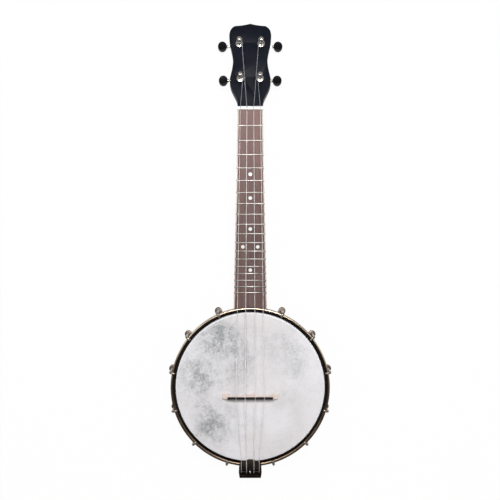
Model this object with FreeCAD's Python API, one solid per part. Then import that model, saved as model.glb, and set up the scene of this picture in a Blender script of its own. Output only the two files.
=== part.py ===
import FreeCAD, Part
import os
from math import acos, asin, atan2, cos, hypot, pi, radians, sin, sqrt, tan
from FreeCAD import Vector

# Banjo ukulele lying on the back of its pot: +Z out of the head, +Y towards the headstock.
# Everything is modelled about the pot's axis, and moved to the middle of the length when it is saved.

# Overall sizes
scale_length = 384.0
head_diameter = 203.2
head_height = 60.0
headstock_length = 122.0
neck_pitch = 2.2
headstock_tilt = 11.0

# Running and seating clearances
seat_gap = 0.05
inlay_gap = 0.02
running_gap = 0.06
side_gap = 0.35
bolt_hole_gap = 0.2

# How far a cut runs on past what it cuts
cut_over = 5.0

# Pot
skin_thickness = 0.4
rim_wall = 12.0
rim_edge_bevel = 1.2
tone_ring_width = 5.0
tone_ring_height = 5.0
tone_ring_bevel = 1.5
skin_skirt = 12.5
flesh_hoop_width = 4.4
flesh_hoop_height = 3.4
hoop_rise = 1.5
hoop_inner_gap = 2.8
hoop_outer_wall = 2.0
hoop_depth = 15.0
hoop_width = 6.6
hoop_bevel = 1.4
hoop_inner_bevel = 0.8
hoop_low_bevel = 0.6

# Hooks, shoes and their fasteners
hooks_per_side = 6
first_hook_angle = 66.2
last_hook_angle = -73.1
hook_wire = 3.6
hook_bend = 2.4
claw_reach = 3.2
claw_tip = 1.2
claw_tip_diameter = 2.0
shoe_drop = 32.0
shoe_width = 9.7
shoe_arm_thickness = 6.0
shoe_foot_thickness = 3.5
shoe_foot_height = 20.0
shoe_bevel = 1.3
shoe_toe_bevel = 1.2
hook_nut_flats = 7.2
hook_nut_height = 8.5
hook_nut_flange = 9.0
hook_nut_flange_thickness = 1.4
hook_end_length = 1.8
shoe_bolt_shank = 4.8
shoe_bolt_flats = 7.0
shoe_bolt_head_height = 3.0
shoe_bolt_flange = 10.0
shoe_bolt_flange_thickness = 1.0
shoe_bolt_drop = 14.0
shoe_bolt_cover = 1.0

# Coordinator rod and its fasteners
rod_height = 32.0
rod_diameter = 9.5
rod_end_gap = 12.0
rod_bolt = 6.0
rod_bore_depth = 14.0
rod_flat_place = 7.0
rod_flat_length = 8.0
rod_flat_width = 7.8
rod_bolt_room = 1.0
tail_bolt_head = 4.0
rod_nut_flats = 10.0
rod_nut_height = 5.0
rod_washer = 14.0
rod_washer_thickness = 1.2
heel_bolt_depth = 17.0

# Neck, measured before it is pitched back
board_rise = 3.0
pivot_inset = 3.2
board_thickness = 5.0
board_end_gap = 0.6
bridge_setback = 5.8
nut_thickness = 4.7
nut_rise = 1.5
nut_crest = 1.05
nut_overhang = 0.5
nut_front_bevel = 0.5
nut_back_bevel = 1.6
board_width_nut = 34.0
board_width_end = 45.0
binding_width = 1.5
neck_depth_nut = 14.0
neck_depth_body = 16.5
heel_length = 58.0
heel_inset = 0.2
heel_depth = 49.0
heel_hoop_gap = 0.6
heel_sections = 5
heel_sweep = 80.0
section_steps = 6
section_fullness = 0.92
volute_length = 19.0
volute_depth = 11.4
volute_drop = 3.2
volute_widening = 1.0
neck_tenon = 6.0
headstock_root = 6.0
veneer_root = 1.0

# Frets and markers
fret_count = 18
fret_crown_width = 2.0
fret_crown_height = 1.0
fret_facets = 4
fret_end_slope = 0.8
fret_tang_width = 0.6
fret_tang_depth = 1.6
fret_tang_inset = 0.3
marker_diameter = 4.8
marker_depth = 1.2
marker_frets = (5, 7, 10, 12, 15)
double_marker_fret = 12
double_marker_spacing = 20.0
side_marker_diameter = 2.0
side_marker_depth = 1.0
side_marker_spacing = 6.0

# Headstock: half its width at distances from the string nut, then its crown
face_drop = 0.5
veneer_thickness = 2.0
headstock_thickness = 14.0
headstock_side = (
    (17.3, 0.0), (18.4, 10.2), (22.8, 20.0), (27.2, 31.0), (28.1, 37.7), (26.7, 46.4), (23.7, 67.5),
    (26.2, 85.5), (29.0, 101.5), (27.6, 111.8),
)
crown_corner_half_width = 20.8
crown_corner_drop = 3.4
crown_dip_half_width = 9.5
crown_dip_drop = 2.2

# Tuners: distance from the string nut and from the centre line, then the sizes of one
upper_post_place = (92.2, 15.1)
lower_post_place = (40.9, 13.5)
post_diameter = 5.4
post_rise = 16.0
post_bevel = 0.9
string_hole_rise = 11.2
string_hole = 1.5
tuner_washer = 10.5
tuner_washer_thickness = 0.8
bushing_flats = 7.2
bushing_head = 2.4
bushing_sleeve = 7.0
housing_depth = 12.5
housing_wall = 1.4
housing_reach = 9.5
housing_bevel = 2.0
housing_room = 0.3
snout_length = 1.8
ear_bevel = 1.4
ear_thickness = 2.0
ear_width = 6.0
screw_diameter = 2.0
screw_head = 4.2
screw_head_height = 1.3
screw_length = 6.0
screw_place = 9.6
shaft_offset = 4.8
wheel_diameter = 6.3
wheel_thickness = 5.0
wheel_teeth = 14
wheel_tooth_depth = 0.5
wheel_pin = 2.4
wheel_pin_length = 0.8
worm_diameter = 3.1
worm_length = 7.0
shaft_diameter = 2.2
knob_reach = 24.0
knob_length = 12.6
knob_height = 14.4
knob_thickness = 6.8
knob_corner = 5.9
knob_bevel = 1.5
knob_collar = 5.4
knob_collar_length = 1.6
knob_wall = 1.4

# Bridge
bridge_place = -12.8
bridge_height = 13.7
bridge_foot_span = 75.5
bridge_top_span = 60.8
bridge_foot_thickness = 7.0
bridge_top_thickness = 3.0
bridge_cap_height = 2.6
bridge_centre_foot = 11.0
bridge_end_foot = 8.5
bridge_arch_height = 6.4
bridge_arch_round = 4.5
bridge_arch_lean = 2.0
bridge_toe_height = 3.2
bridge_toe_round = 1.2
bridge_waist_height = 6.5
bridge_waist_reach = 2.0
bridge_waist_round = 6.0
bridge_heel_height = 1.5
bridge_heel_round = 2.0
bridge_cap_round = 1.0
bridge_notch_depth = 0.9

# Strings: name, diameter, then the place across the nut, the bridge and the tailpiece
strings = (
    ("string_g", 0.72, -13.6, -19.0, -12.2),
    ("string_c", 1.00, -4.6, -6.8, -5.0),
    ("string_e", 0.84, 4.6, 6.8, 5.0),
    ("string_a", 0.72, 13.6, 19.0, 12.2),
)
winding_turns = 3
winding_gap = 0.45
winding_rise = 4.6
post_string_gap = 0.1
cord_slot_gap = 0.03
slot_lean = 0.25
string_tail = 3.5
string_seat = 1.8
string_lead = 2.0
saddle_bend = 10.0
nut_bend = 8.0
post_bend = 6.0
edge_bend = 1.6
plate_rise_bend = 12.0
bar_string_gap = 0.05
window_edge_inset = 0.6
string_end_reach = 1.0
plate_string_gap = 0.01

# Tailpiece
plate_overlap = 11.9
plate_length = 28.2
plate_width = 31.2
plate_thickness = 1.5
plate_hoop_gap = 0.6
plate_skirt = 13.0
plate_bend = 4.5
plate_corner = 1.0
plate_nose = 0.9
plate_nose_round = 17.0
plate_shoulder_drop = 7.4
plate_shoulder_inset = 0.7
plate_rear_inset = 1.3
plate_side_round = 12.0
plate_cheek_drop = 5.5
plate_thinning = 5.0
hoop_plate_room = 1.2
window_place = 16.0
window_length = 7.3
window_width = 26.6
bar_diameter = 2.6
bar_setback = 19.5
bar_drop = 3.5
bar_end_inset = 0.2
tail_hook_wire = 2.0
tail_hook_tip = 1.2
tail_hook_end_length = 2.0
tail_hook_nut_flats = 6.0
tail_hook_nut_height = 3.5
bracket_width = 14.0
bracket_thickness = 2.0
bracket_arm_height = 44.0
bracket_foot_height = 22.0
bracket_bend = 1.5

# Sizes that follow from those above
skin_outer = head_diameter / 2
rim_outer = skin_outer - skin_thickness - seat_gap
rim_inner = rim_outer - rim_wall
rim_height = head_height - skin_thickness - tone_ring_height
hoop_inner = skin_outer + hoop_inner_gap
hoop_outer = skin_outer + hoop_width
hoop_top = head_height + hoop_rise
hoop_low = hoop_top - hoop_depth
flesh_outer = skin_outer + seat_gap + flesh_hoop_width
flesh_low = head_height - skin_skirt
flesh_high = flesh_low + flesh_hoop_height
hook_radius = hook_wire / 2
shank_place = hoop_outer + side_gap + hook_radius
shoe_high = hoop_top - shoe_drop
shoe_arm_low = shoe_high - shoe_arm_thickness
hook_nut_low = shoe_arm_low - hook_nut_height
board_top = head_height + board_rise
board_low = board_top - board_thickness
board_end = hoop_outer + board_end_gap
board_pivot = hoop_outer - pivot_inset
heel_back = hoop_outer - heel_inset
heel_start = heel_back + heel_length
# the nut's front edge; the setback makes the strings a little longer than the scale
nut_front = scale_length + bridge_place + bridge_setback
nut_back = nut_front + nut_thickness
face_height = board_top - face_drop
plate_front = plate_overlap - hoop_outer
plate_rear = plate_front - plate_length
window_front = plate_front - window_place
window_rear = window_front - window_length
bar_place = plate_front - bar_setback
plate_low = hoop_top + plate_hoop_gap
plate_high = plate_low + plate_thickness
bar_height = plate_high - bar_drop
slab_low = -headstock_thickness
housing_low = slab_low - housing_depth
shaft_level = slab_low - housing_depth / 2

FLAT = {
    "xy": lambda a, b, c: Vector(a, b, c),
    "xz": lambda a, b, c: Vector(a, c, b),
    "yz": lambda a, b, c: Vector(c, a, b),
}


def outline(corners, plane="xz", level=0.0):
    """Face with straight edges; a corner (a, b, size) is rounded, or bevelled if its size is negative."""
    to_space = FLAT[plane]
    edges = []
    starts = []
    ends = []
    for index, (a, b, radius) in enumerate(corners):
        before = corners[index - 1]
        after = corners[(index + 1) % len(corners)]
        if radius == 0:
            starts.append((a, b))
            ends.append((a, b))
            continue
        u = unit(before[0] - a, before[1] - b)
        v = unit(after[0] - a, after[1] - b)
        half = acos(max(-1.0, min(1.0, u[0] * v[0] + u[1] * v[1]))) / 2
        reach = radius / tan(half) if radius > 0 else -radius
        start = (a + u[0] * reach, b + u[1] * reach)
        end = (a + v[0] * reach, b + v[1] * reach)
        starts.append(start)
        ends.append(end)
        if radius < 0:
            edges.append((index, Part.makeLine(to_space(*start, level), to_space(*end, level))))
            continue
        bisector = unit(u[0] + v[0], u[1] + v[1])
        depth = radius / sin(half) - radius
        middle = (a + bisector[0] * depth, b + bisector[1] * depth)
        edges.append((index, Part.Arc(to_space(*start, level), to_space(*middle, level),
                                      to_space(*end, level)).toShape()))
    arcs = dict(edges)
    chain = []
    for index in range(len(corners)):
        if index in arcs:
            chain.append(arcs[index])
        following = (index + 1) % len(corners)
        start = to_space(*ends[index], level)
        end = to_space(*starts[following], level)
        if start.distanceToPoint(end) > 1e-6:
            chain.append(Part.makeLine(start, end))
    return Part.Face(Part.Wire(chain))


def unit(a, b):
    length = hypot(a, b)
    return (a / length, b / length)


def revolved(corners):
    return outline(corners).revolve(Vector(0, 0, 0), Vector(0, 0, 1), 360)


def prism(corners, plane, start, end):
    """Straight solid on an outline, from one level to another across its plane."""
    face = outline(corners, plane, start)
    return face.extrude(FLAT[plane](0, 0, end - start))


def rod(radius, start, end):
    start = Vector(*start)
    end = Vector(*end)
    return Part.makeCylinder(radius, start.distanceToPoint(end), start, end - start)


def box(low, high):
    size = [high[axis] - low[axis] for axis in range(3)]
    return Part.makeBox(*size, Vector(*low))


def tube(outer, inner, start, end):
    return rod(outer, start, end).cut(rod(inner, start, end))


def hexagon(flats, low, high):
    radius = flats / sqrt(3)
    corners = [(radius * cos(radians(60 * side)), radius * sin(radians(60 * side)), 0) for side in range(6)]
    return prism(corners, "xy", low, high)


def turned(shape, angle):
    copy = shape.copy()
    copy.rotate(Vector(0, 0, 0), Vector(0, 0, 1), angle)
    return copy


def mirrored(shape):
    return shape.mirror(Vector(0, 0, 0), Vector(1, 0, 0))


def on_neck(shape):
    copy = shape.copy()
    copy.rotate(Vector(0, board_pivot, board_top), Vector(1, 0, 0), -neck_pitch)
    return copy


def on_headstock(shape):
    """From the headstock's own frame, Y along it from the string nut and Z out of its face, to the pot's."""
    copy = shape.copy()
    copy.rotate(Vector(0, 0, 0), Vector(1, 0, 0), -headstock_tilt)
    copy.translate(Vector(0, nut_back, face_height))
    return on_neck(copy)


def neck_point(x, y, z):
    return on_neck(Part.Vertex(x, y, z)).Point


def headstock_point(x, y, z):
    return on_headstock(Part.Vertex(x, y, z)).Point


# Pot

def hook_angles():
    step = (last_hook_angle - first_hook_angle) / (hooks_per_side - 1)
    right = [first_hook_angle + step * place for place in range(hooks_per_side)]
    return right + [180 - angle for angle in right]


def make_rim():
    e = -rim_edge_bevel
    body = revolved([
        (rim_inner, 0, e), (rim_outer, 0, e), (rim_outer, rim_height, 0), (rim_inner, rim_height, 0),
    ])
    level = shoe_bolt_height()
    reach = rim_outer + cut_over
    hole = rod(shoe_bolt_shank / 2 + bolt_hole_gap, (rim_inner - cut_over, 0, level), (reach, 0, level))
    for angle in hook_angles():
        body = body.cut(turned(hole, angle))
    return body.cut(rod(rod_bolt / 2 + bolt_hole_gap, (0, -reach, rod_height), (0, reach, rod_height)))


def make_tone_ring():
    inner = rim_outer - tone_ring_width
    top = rim_height + tone_ring_height
    return revolved([
        (inner, rim_height, 0), (rim_outer, rim_height, 0), (rim_outer, top, -tone_ring_bevel),
        (inner, top, 0),
    ])


def make_head_skin():
    inner = skin_outer - skin_thickness
    crown = tone_ring_bevel + skin_thickness
    under = head_height - skin_thickness
    outer_side = [(0, head_height, 0), (skin_outer, head_height, -crown), (skin_outer, flesh_low, 0)]
    inner_side = [(inner, flesh_low, 0), (inner, under, -tone_ring_bevel), (0, under, 0)]
    return revolved(outer_side + inner_side)


def make_flesh_hoop():
    inner = skin_outer + seat_gap
    return tube(flesh_outer, inner, (0, 0, flesh_low), (0, 0, flesh_high))


def make_tension_hoop():
    """Angle-section hoop: a shelf that presses on the flesh hoop and a skirt outside it."""
    lip = hoop_outer - hoop_outer_wall
    return revolved([
        (hoop_inner, flesh_high, 0), (lip, flesh_high, 0), (lip, hoop_low, 0),
        (hoop_outer, hoop_low, -hoop_low_bevel), (hoop_outer, hoop_top, -hoop_bevel),
        (hoop_inner, hoop_top, -hoop_inner_bevel),
    ])


def bent_wire(corners, radius, plane):
    """Round wire in one plane, with a tangent arc of the given radius at each inner corner."""
    to_space = FLAT[plane]
    path = rounded_path([to_space(a, b, 0) for a, b, _ in corners], [bend for _, _, bend in corners])
    runs = []
    for edge in path.OrderedEdges:
        start = edge.valueAt(edge.FirstParameter)
        heading = edge.tangentAt(edge.FirstParameter)
        if edge.Curve.TypeId == "Part::GeomLine":
            runs.append(Part.makeCylinder(radius, edge.Length, start, heading))
            continue
        section = Part.Face(Part.Wire(Part.makeCircle(radius, start, heading)))
        swing = edge.Length / edge.Curve.Radius * 180 / pi
        runs.append(section.revolve(edge.Curve.Center, edge.Curve.Axis, swing))
    return runs[0].fuse(runs[1:]).removeSplitter()


def rounded_path(points, bends):
    edges = []
    here = points[0]
    for before, corner, after, bend in zip(points, points[1:], points[2:], bends[1:]):
        back = (before - corner).normalize()
        on = (after - corner).normalize()
        half = acos(max(-1.0, min(1.0, back.dot(on)))) / 2
        reach = bend / tan(half)
        start = corner + back * reach
        end = corner + on * reach
        middle = corner + (back + on).normalize() * (bend / sin(half) - bend)
        if here.distanceToPoint(start) > 1e-6:
            edges.append(Part.makeLine(here, start))
        edges.append(Part.Arc(start, middle, end).toShape())
        here = end
    if here.distanceToPoint(points[-1]) > 1e-6:
        edges.append(Part.makeLine(here, points[-1]))
    return Part.Wire(edges)


def make_hook():
    """One tension hook on +X: its claw lies on the hoop, and its shank runs down outside it."""
    level = hoop_top + hook_radius
    claw_end = shank_place - hook_bend - claw_reach
    low = hook_nut_low - hook_end_length
    route = Part.makePolygon([Vector(shank_place, 0, low), Vector(shank_place, 0, level - hook_bend),
                              Vector(shank_place - hook_bend, 0, level), Vector(claw_end, 0, level)])
    section = Part.Wire(Part.makeCircle(hook_radius, Vector(shank_place, 0, low), Vector(0, 0, 1)))
    tip = Part.makeCone(claw_tip_diameter / 2, hook_radius, claw_tip, Vector(claw_end - claw_tip, 0, level),
                        Vector(1, 0, 0))
    return route.makePipeShell([section], True, False, 1).fuse(tip).removeSplitter()


def shoe_bolt_height():
    return shoe_high - shoe_bolt_drop


def make_shoe():
    """One bracket shoe: a foot on the rim and an arm whose round end holds the hook."""
    seat = rim_outer + seat_gap
    foot = seat + shoe_foot_thickness
    half = shoe_width / 2
    reach = shank_place + half
    foot_low = shoe_high - shoe_foot_height
    corner = (shank_place - hook_nut_flange / 2 - foot) / 2
    inside = seat - cut_over
    side = prism([
        (inside, foot_low, 0), (foot, foot_low, -shoe_toe_bevel), (foot, shoe_arm_low, -corner),
        (reach, shoe_arm_low, 0), (reach, shoe_high, -shoe_bevel), (inside, shoe_high, 0),
    ], "xz", -half, half)
    arm = box((0, -half, 0), (shank_place, half, head_height))
    end = rod(half, (shank_place, 0, 0), (shank_place, 0, head_height))
    body = side.common(arm.fuse(end))
    body = body.cut(rod(seat, (0, 0, 0), (0, 0, head_height)))
    body = body.cut(rod(hook_radius + running_gap, (shank_place, 0, 0), (shank_place, 0, head_height)))
    level = shoe_bolt_height()
    tip = foot - shoe_bolt_cover + seat_gap
    return body.cut(rod(shoe_bolt_shank / 2 + seat_gap, (inside, 0, level), (tip, 0, level)))


def shoe_bolt_seat():
    return sqrt(rim_inner ** 2 - (shoe_bolt_flange / 2) ** 2) - seat_gap


def make_shoe_bolt():
    """Flanged hexagon bolt from inside the rim into the shoe's foot."""
    level = shoe_bolt_height()
    face = shoe_bolt_seat() - shoe_bolt_flange_thickness
    tip = rim_outer + seat_gap + shoe_foot_thickness - shoe_bolt_cover
    flange = rod(shoe_bolt_flange / 2, (face, 0, level), (face + shoe_bolt_flange_thickness, 0, level))
    shank = rod(shoe_bolt_shank / 2, (face, 0, level), (tip, 0, level))
    head = hexagon(shoe_bolt_flats, 0, shoe_bolt_head_height)
    head.rotate(Vector(0, 0, 0), Vector(0, 1, 0), -90)
    head.translate(Vector(face, 0, level))
    return shank.fuse([flange, head]).removeSplitter()


def make_hook_nut():
    """Flanged hexagon nut on the hook's lower end, its flange against the shoe."""
    body = hexagon(hook_nut_flats, hook_nut_low, shoe_arm_low)
    flange = rod(hook_nut_flange / 2, (0, 0, shoe_arm_low - hook_nut_flange_thickness), (0, 0, shoe_arm_low))
    nut = body.fuse(flange).removeSplitter()
    nut = nut.cut(rod(hook_radius + running_gap, (0, 0, 0), (0, 0, head_height)))
    nut.translate(Vector(shank_place, 0, 0))
    return nut


# Neck

def half_round(width, depth, y, top):
    """Closed section of the neck at y: a straight top edge and a rounded underside."""
    points = []
    for step in range(section_steps + 1):
        angle = pi * step / section_steps
        points.append(Vector(width / 2 * cos(angle), y, top - depth * sin(angle) ** section_fullness))
    curve = Part.BSplineCurve()
    curve.interpolate(points)
    return Part.Wire([curve.toShape(), Part.makeLine(points[-1], points[0])])


def board_width_at(y):
    share = (nut_front - y) / (nut_front - board_end)
    return board_width_nut + (board_width_end - board_width_nut) * share


def shaft_depth_at(y):
    share = (nut_front - y) / (nut_front - heel_start)
    return neck_depth_nut + (neck_depth_body - neck_depth_nut) * share


def neck_section(y, depth):
    return half_round(board_width_at(y), depth, y, board_low)


def make_neck_wood():
    """Shaft, heel and headstock as one piece, before the holes."""
    volute = half_round(board_width_nut + volute_widening, volute_depth, nut_back + volute_length,
                        board_low - volute_drop)
    nut_end = neck_section(nut_back, shaft_depth_at(nut_back))
    heel = []
    for step in range(heel_sections + 1):
        angle = radians(heel_sweep * step / heel_sections)
        y = heel_start - (heel_start - heel_back) * sin(angle)
        heel.append(neck_section(y, shaft_depth_at(y) + (heel_depth - neck_depth_body) * (1 - cos(angle))))
    inside = neck_section(rim_outer - neck_tenon, heel_depth)
    wood = Part.makeLoft(heel, True, False)
    pairs = [[volute, nut_end], [nut_end, heel[0]], [heel[-1], inside]]
    runs = [Part.makeLoft(pair, True, True) for pair in pairs]
    blank = headstock_blank(-headstock_root).extrude(Vector(0, 0, headstock_thickness - veneer_thickness))
    wood = wood.fuse(runs + [on_untilted_headstock(blank, slab_low)])
    return wood.cut(over_board(board_low))


def over_board(low):
    """Room for the fretboard and string nut, as far as the headstock."""
    wide = board_width_end
    return box((-wide, 0, low), (wide, nut_back, board_top + head_height))


def on_untilted_headstock(shape, level):
    copy = shape.copy()
    copy.translate(Vector(0, 0, level))
    copy.rotate(Vector(0, 0, 0), Vector(1, 0, 0), -headstock_tilt)
    copy.translate(Vector(0, nut_back, face_height))
    return copy


def headstock_blank(start):
    """Outline of the headstock: flared above the nut, waisted between the tuners, peaked at the end."""
    corner = Vector(crown_corner_half_width, headstock_length - crown_corner_drop, 0)
    dip = Vector(crown_dip_half_width, headstock_length - crown_dip_drop, 0)
    curve = Part.BSplineCurve()
    curve.interpolate([Vector(x, y, 0) for x, y in headstock_side] + [corner])
    crown = Part.Arc(corner, dip, Vector(0, headstock_length, 0)).toShape()
    root = headstock_side[0][0]
    foot = Part.makeLine(Vector(root, start, 0), Vector(root, 0, 0))
    half = [foot, curve.toShape(), crown]
    other = [mirrored(edge) for edge in half]
    closing = Part.makeLine(Vector(-root, start, 0), Vector(root, start, 0))
    return Part.Face(Part.Wire(Part.sortEdges(half + other + [closing])[0]))


def tuner_places():
    places = []
    for level, (along, across) in (("upper", upper_post_place), ("lower", lower_post_place)):
        places.append((level + "_left", along, -across))
        places.append((level + "_right", along, across))
    return places


def tuner_holes():
    holes = []
    for _, along, across in tuner_places():
        holes.append(rod(bushing_sleeve / 2 + seat_gap, (across, along, slab_low - cut_over),
                         (across, along, cut_over)))
        screw = along - screw_place
        holes.append(rod(screw_diameter / 2 + seat_gap, (across, screw, slab_low - cut_over),
                         (across, screw, slab_low + screw_length + bolt_hole_gap)))
    return Part.makeCompound(holes)


def make_neck():
    wood = on_neck(make_neck_wood())
    wood = wood.cut(rod(rim_outer + seat_gap, (0, 0, -head_height), (0, 0, 2 * head_height)))
    clear = hoop_outer + heel_hoop_gap
    wood = wood.cut(rod(clear, (0, 0, hoop_low - heel_hoop_gap), (0, 0, 2 * head_height)))
    wood = wood.cut(on_headstock(tuner_holes()))
    deep = rim_outer + heel_bolt_depth + bolt_hole_gap
    return wood.cut(rod(rod_bolt / 2 + seat_gap, (0, rim_inner, rod_height), (0, deep, rod_height)))


def make_headstock_veneer():
    blank = headstock_blank(-veneer_root).extrude(Vector(0, 0, veneer_thickness))
    plate = on_untilted_headstock(blank, -veneer_thickness).cut(over_board(board_low - cut_over))
    return on_neck(plate).cut(on_headstock(tuner_holes()))


def board_plan(inset, low, high):
    """Tapered plan of the fretboard, drawn in from its sides by the inset."""
    start = board_end - cut_over
    near = board_width_at(start) / 2 - inset
    far = board_width_nut / 2 - inset
    plan = [(-near, start, 0), (near, start, 0), (far, nut_front, 0), (-far, nut_front, 0)]
    return prism(plan, "xy", low, high)


def fret_places():
    return [nut_front - scale_length * (1 - 2 ** (-fret / 12)) for fret in range(1, fret_count + 1)]


def fret_parts():
    """Crowns and tangs of the frets, and the slots that take them."""
    frets = []
    slots = []
    high = board_top + fret_crown_height
    low = board_top - fret_tang_depth
    for y in fret_places():
        half = board_width_at(y) / 2
        top = half - fret_end_slope
        section = []
        for facet in range(fret_facets + 1):
            angle = pi * facet / fret_facets
            across = y + fret_crown_width / 2 * cos(angle)
            section.append((across, board_top + fret_crown_height * sin(angle), 0))
        crown = prism(section, "yz", -half, half)
        ends = prism([(-half, board_top, 0), (half, board_top, 0), (top, high, 0), (-top, high, 0)],
                     "xz", y - fret_crown_width, y + fret_crown_width)
        thick = fret_tang_width / 2
        inner = half - binding_width - fret_tang_inset
        tang = box((-inner, y - thick, low), (inner, y + thick, board_top))
        frets.append(crown.common(ends).fuse(tang).removeSplitter())
        slots.append(box((-inner - inlay_gap, y - thick - inlay_gap, low - inlay_gap),
                         (inner + inlay_gap, y + thick + inlay_gap, high)))
    return frets, slots


def marker_spots():
    frets = [nut_front] + fret_places()
    spots = []
    for fret in marker_frets:
        y = (frets[fret] + frets[fret - 1]) / 2
        if fret == double_marker_fret:
            spots.append((-double_marker_spacing / 2, y))
            spots.append((double_marker_spacing / 2, y))
        else:
            spots.append((0, y))
    return spots


def side_marker_spots():
    frets = [nut_front] + fret_places()
    spots = []
    for fret in marker_frets:
        y = (frets[fret] + frets[fret - 1]) / 2
        apart = side_marker_spacing / 2 if fret == double_marker_fret else 0.0
        spots.extend(sorted({y - apart, y + apart}))
    return spots


def side_marker(y, slack):
    half = board_width_at(y) / 2
    level = board_top - board_thickness / 2
    deep = -half + side_marker_depth + slack
    return rod(side_marker_diameter / 2 + slack, (-half - slack, y, level), (deep, y, level))


def face_marker(x, y, slack):
    low = board_top - marker_depth - slack
    return rod(marker_diameter / 2 + slack, (x, y, low), (x, y, board_top + slack))


def make_fretboard(slots):
    board = cut_to_hoop_on_neck(board_plan(binding_width, board_low, board_top))
    pockets = [face_marker(x, y, inlay_gap) for x, y in marker_spots()]
    return board.cut(on_neck(Part.makeCompound(slots + pockets)))


def cut_to_hoop_on_neck(shape):
    return on_neck(shape).cut(rod(board_end, (0, 0, 0), (0, 0, 2 * head_height)))


def make_binding():
    middle = board_plan(binding_width, board_low - cut_over, board_top + cut_over)
    frame = board_plan(0, board_low, board_top).cut(middle)
    pockets = [side_marker(y, inlay_gap) for y in side_marker_spots()]
    return cut_to_hoop_on_neck(frame).cut(on_neck(Part.makeCompound(pockets)))


def make_string_nut(cord_slots):
    """Nut block with a sloped back edge, cut for the strings."""
    top = board_top + nut_rise + nut_crest
    half = board_width_nut / 2 + nut_overhang
    block = prism([
        (nut_front, board_low, 0), (nut_back, board_low, 0), (nut_back, top, -nut_back_bevel),
        (nut_front, top, -nut_front_bevel),
    ], "yz", -half, half)
    return cut_for_strings(on_neck(block), cord_slots)


def cut_for_strings(block, cord_slots):
    for slot in cord_slots:
        block = block.cut(slot)
    return block


# Tuners, in a frame of their own: Z along the post out of the headstock's face, +X towards the knob

def worm_shaft_line(start, end):
    return (start, shaft_offset, shaft_level), (end, shaft_offset, shaft_level)


def make_housing():
    """Box round the worm and its wheel, with a snout for the shaft and an ear for the screw."""
    half = wheel_diameter / 2 + housing_room + housing_wall
    far = shaft_offset + worm_diameter / 2 + housing_room + housing_wall
    inboard = -worm_length / 2 - housing_room - housing_wall
    body = prism([
        (inboard, slab_low, 0), (inboard, housing_low, -housing_bevel),
        (housing_reach, housing_low, -housing_bevel), (housing_reach, slab_low, 0),
    ], "xz", -half, far)
    snout = rod(knob_collar / 2, *worm_shaft_line(housing_reach - housing_wall, housing_reach + snout_length))
    tip = -screw_place - ear_width / 2
    wide = ear_width / 2
    ear = prism([
        (-wide, tip, -ear_bevel), (wide, tip, -ear_bevel), (wide, -half + housing_wall, 0),
        (-wide, -half + housing_wall, 0),
    ], "xy", slab_low - ear_thickness, slab_low)
    body = body.fuse([snout, ear]).removeSplitter()
    room = wheel_diameter / 2 + housing_room
    tall = wheel_thickness / 2 + housing_room
    long = worm_length / 2 + housing_room
    body = body.cut(box((-long, -room, shaft_level - tall),
                        (long, shaft_offset + worm_diameter / 2 + housing_room, shaft_level + tall)))
    body = body.cut(rod(post_diameter / 2 + running_gap, (0, 0, shaft_level), (0, 0, 0)))
    body = body.cut(rod(wheel_pin / 2 + running_gap, (0, 0, shaft_level - tall - 1), (0, 0, shaft_level)))
    body = body.cut(rod(shaft_diameter / 2 + running_gap, *worm_shaft_line(0, housing_reach + cut_over)))
    low = slab_low - cut_over
    return body.cut(rod(screw_diameter / 2 + seat_gap, (0, -screw_place, low), (0, -screw_place, 0)))


def make_tuner_screw():
    seat = slab_low - ear_thickness
    head = rod(screw_head / 2, (0, -screw_place, seat - screw_head_height), (0, -screw_place, seat))
    shank = rod(screw_diameter / 2, (0, -screw_place, seat), (0, -screw_place, slab_low + screw_length))
    return head.fuse(shank).removeSplitter()


def make_bushing():
    """Hexagon-headed sleeve that guides the post through the headstock."""
    low = tuner_washer_thickness
    head = hexagon(bushing_flats, low, low + bushing_head)
    sleeve = rod(bushing_sleeve / 2, (0, 0, slab_low + bolt_hole_gap), (0, 0, low))
    body = head.fuse(sleeve).removeSplitter()
    return body.cut(rod(post_diameter / 2 + running_gap, (0, 0, slab_low), (0, 0, post_rise)))


def make_tuner_washer():
    return tube(tuner_washer / 2, bushing_sleeve / 2 + seat_gap, (0, 0, 0), (0, 0, tuner_washer_thickness))


def make_post():
    """String post, bevelled at the top, with its string hole, and the worm wheel on its lower end."""
    radius = post_diameter / 2
    wheel_low = shaft_level - wheel_thickness / 2
    wheel_high = shaft_level + wheel_thickness / 2
    post = revolved([
        (0, wheel_high, 0), (radius, wheel_high, 0), (radius, post_rise, -post_bevel), (0, post_rise, 0),
    ])
    post = post.cut(rod(string_hole / 2, (-post_diameter, 0, string_hole_rise),
                        (post_diameter, 0, string_hole_rise)))
    teeth = []
    for half_tooth in range(2 * wheel_teeth):
        angle = pi * half_tooth / wheel_teeth
        reach = wheel_diameter / 2 - wheel_tooth_depth * (half_tooth % 2)
        teeth.append((reach * cos(angle), reach * sin(angle), 0))
    wheel = prism(teeth, "xy", wheel_low, wheel_high)
    pin = rod(wheel_pin / 2, (0, 0, wheel_low - wheel_pin_length), (0, 0, wheel_low))
    return post.fuse([wheel, pin]).removeSplitter()


def make_worm_shaft():
    end = knob_reach + knob_length / 2 - knob_wall - inlay_gap
    shaft = rod(shaft_diameter / 2, *worm_shaft_line(worm_length / 2, end))
    worm = rod(worm_diameter / 2, *worm_shaft_line(-worm_length / 2, worm_length / 2))
    return shaft.fuse(worm).removeSplitter()


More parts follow.
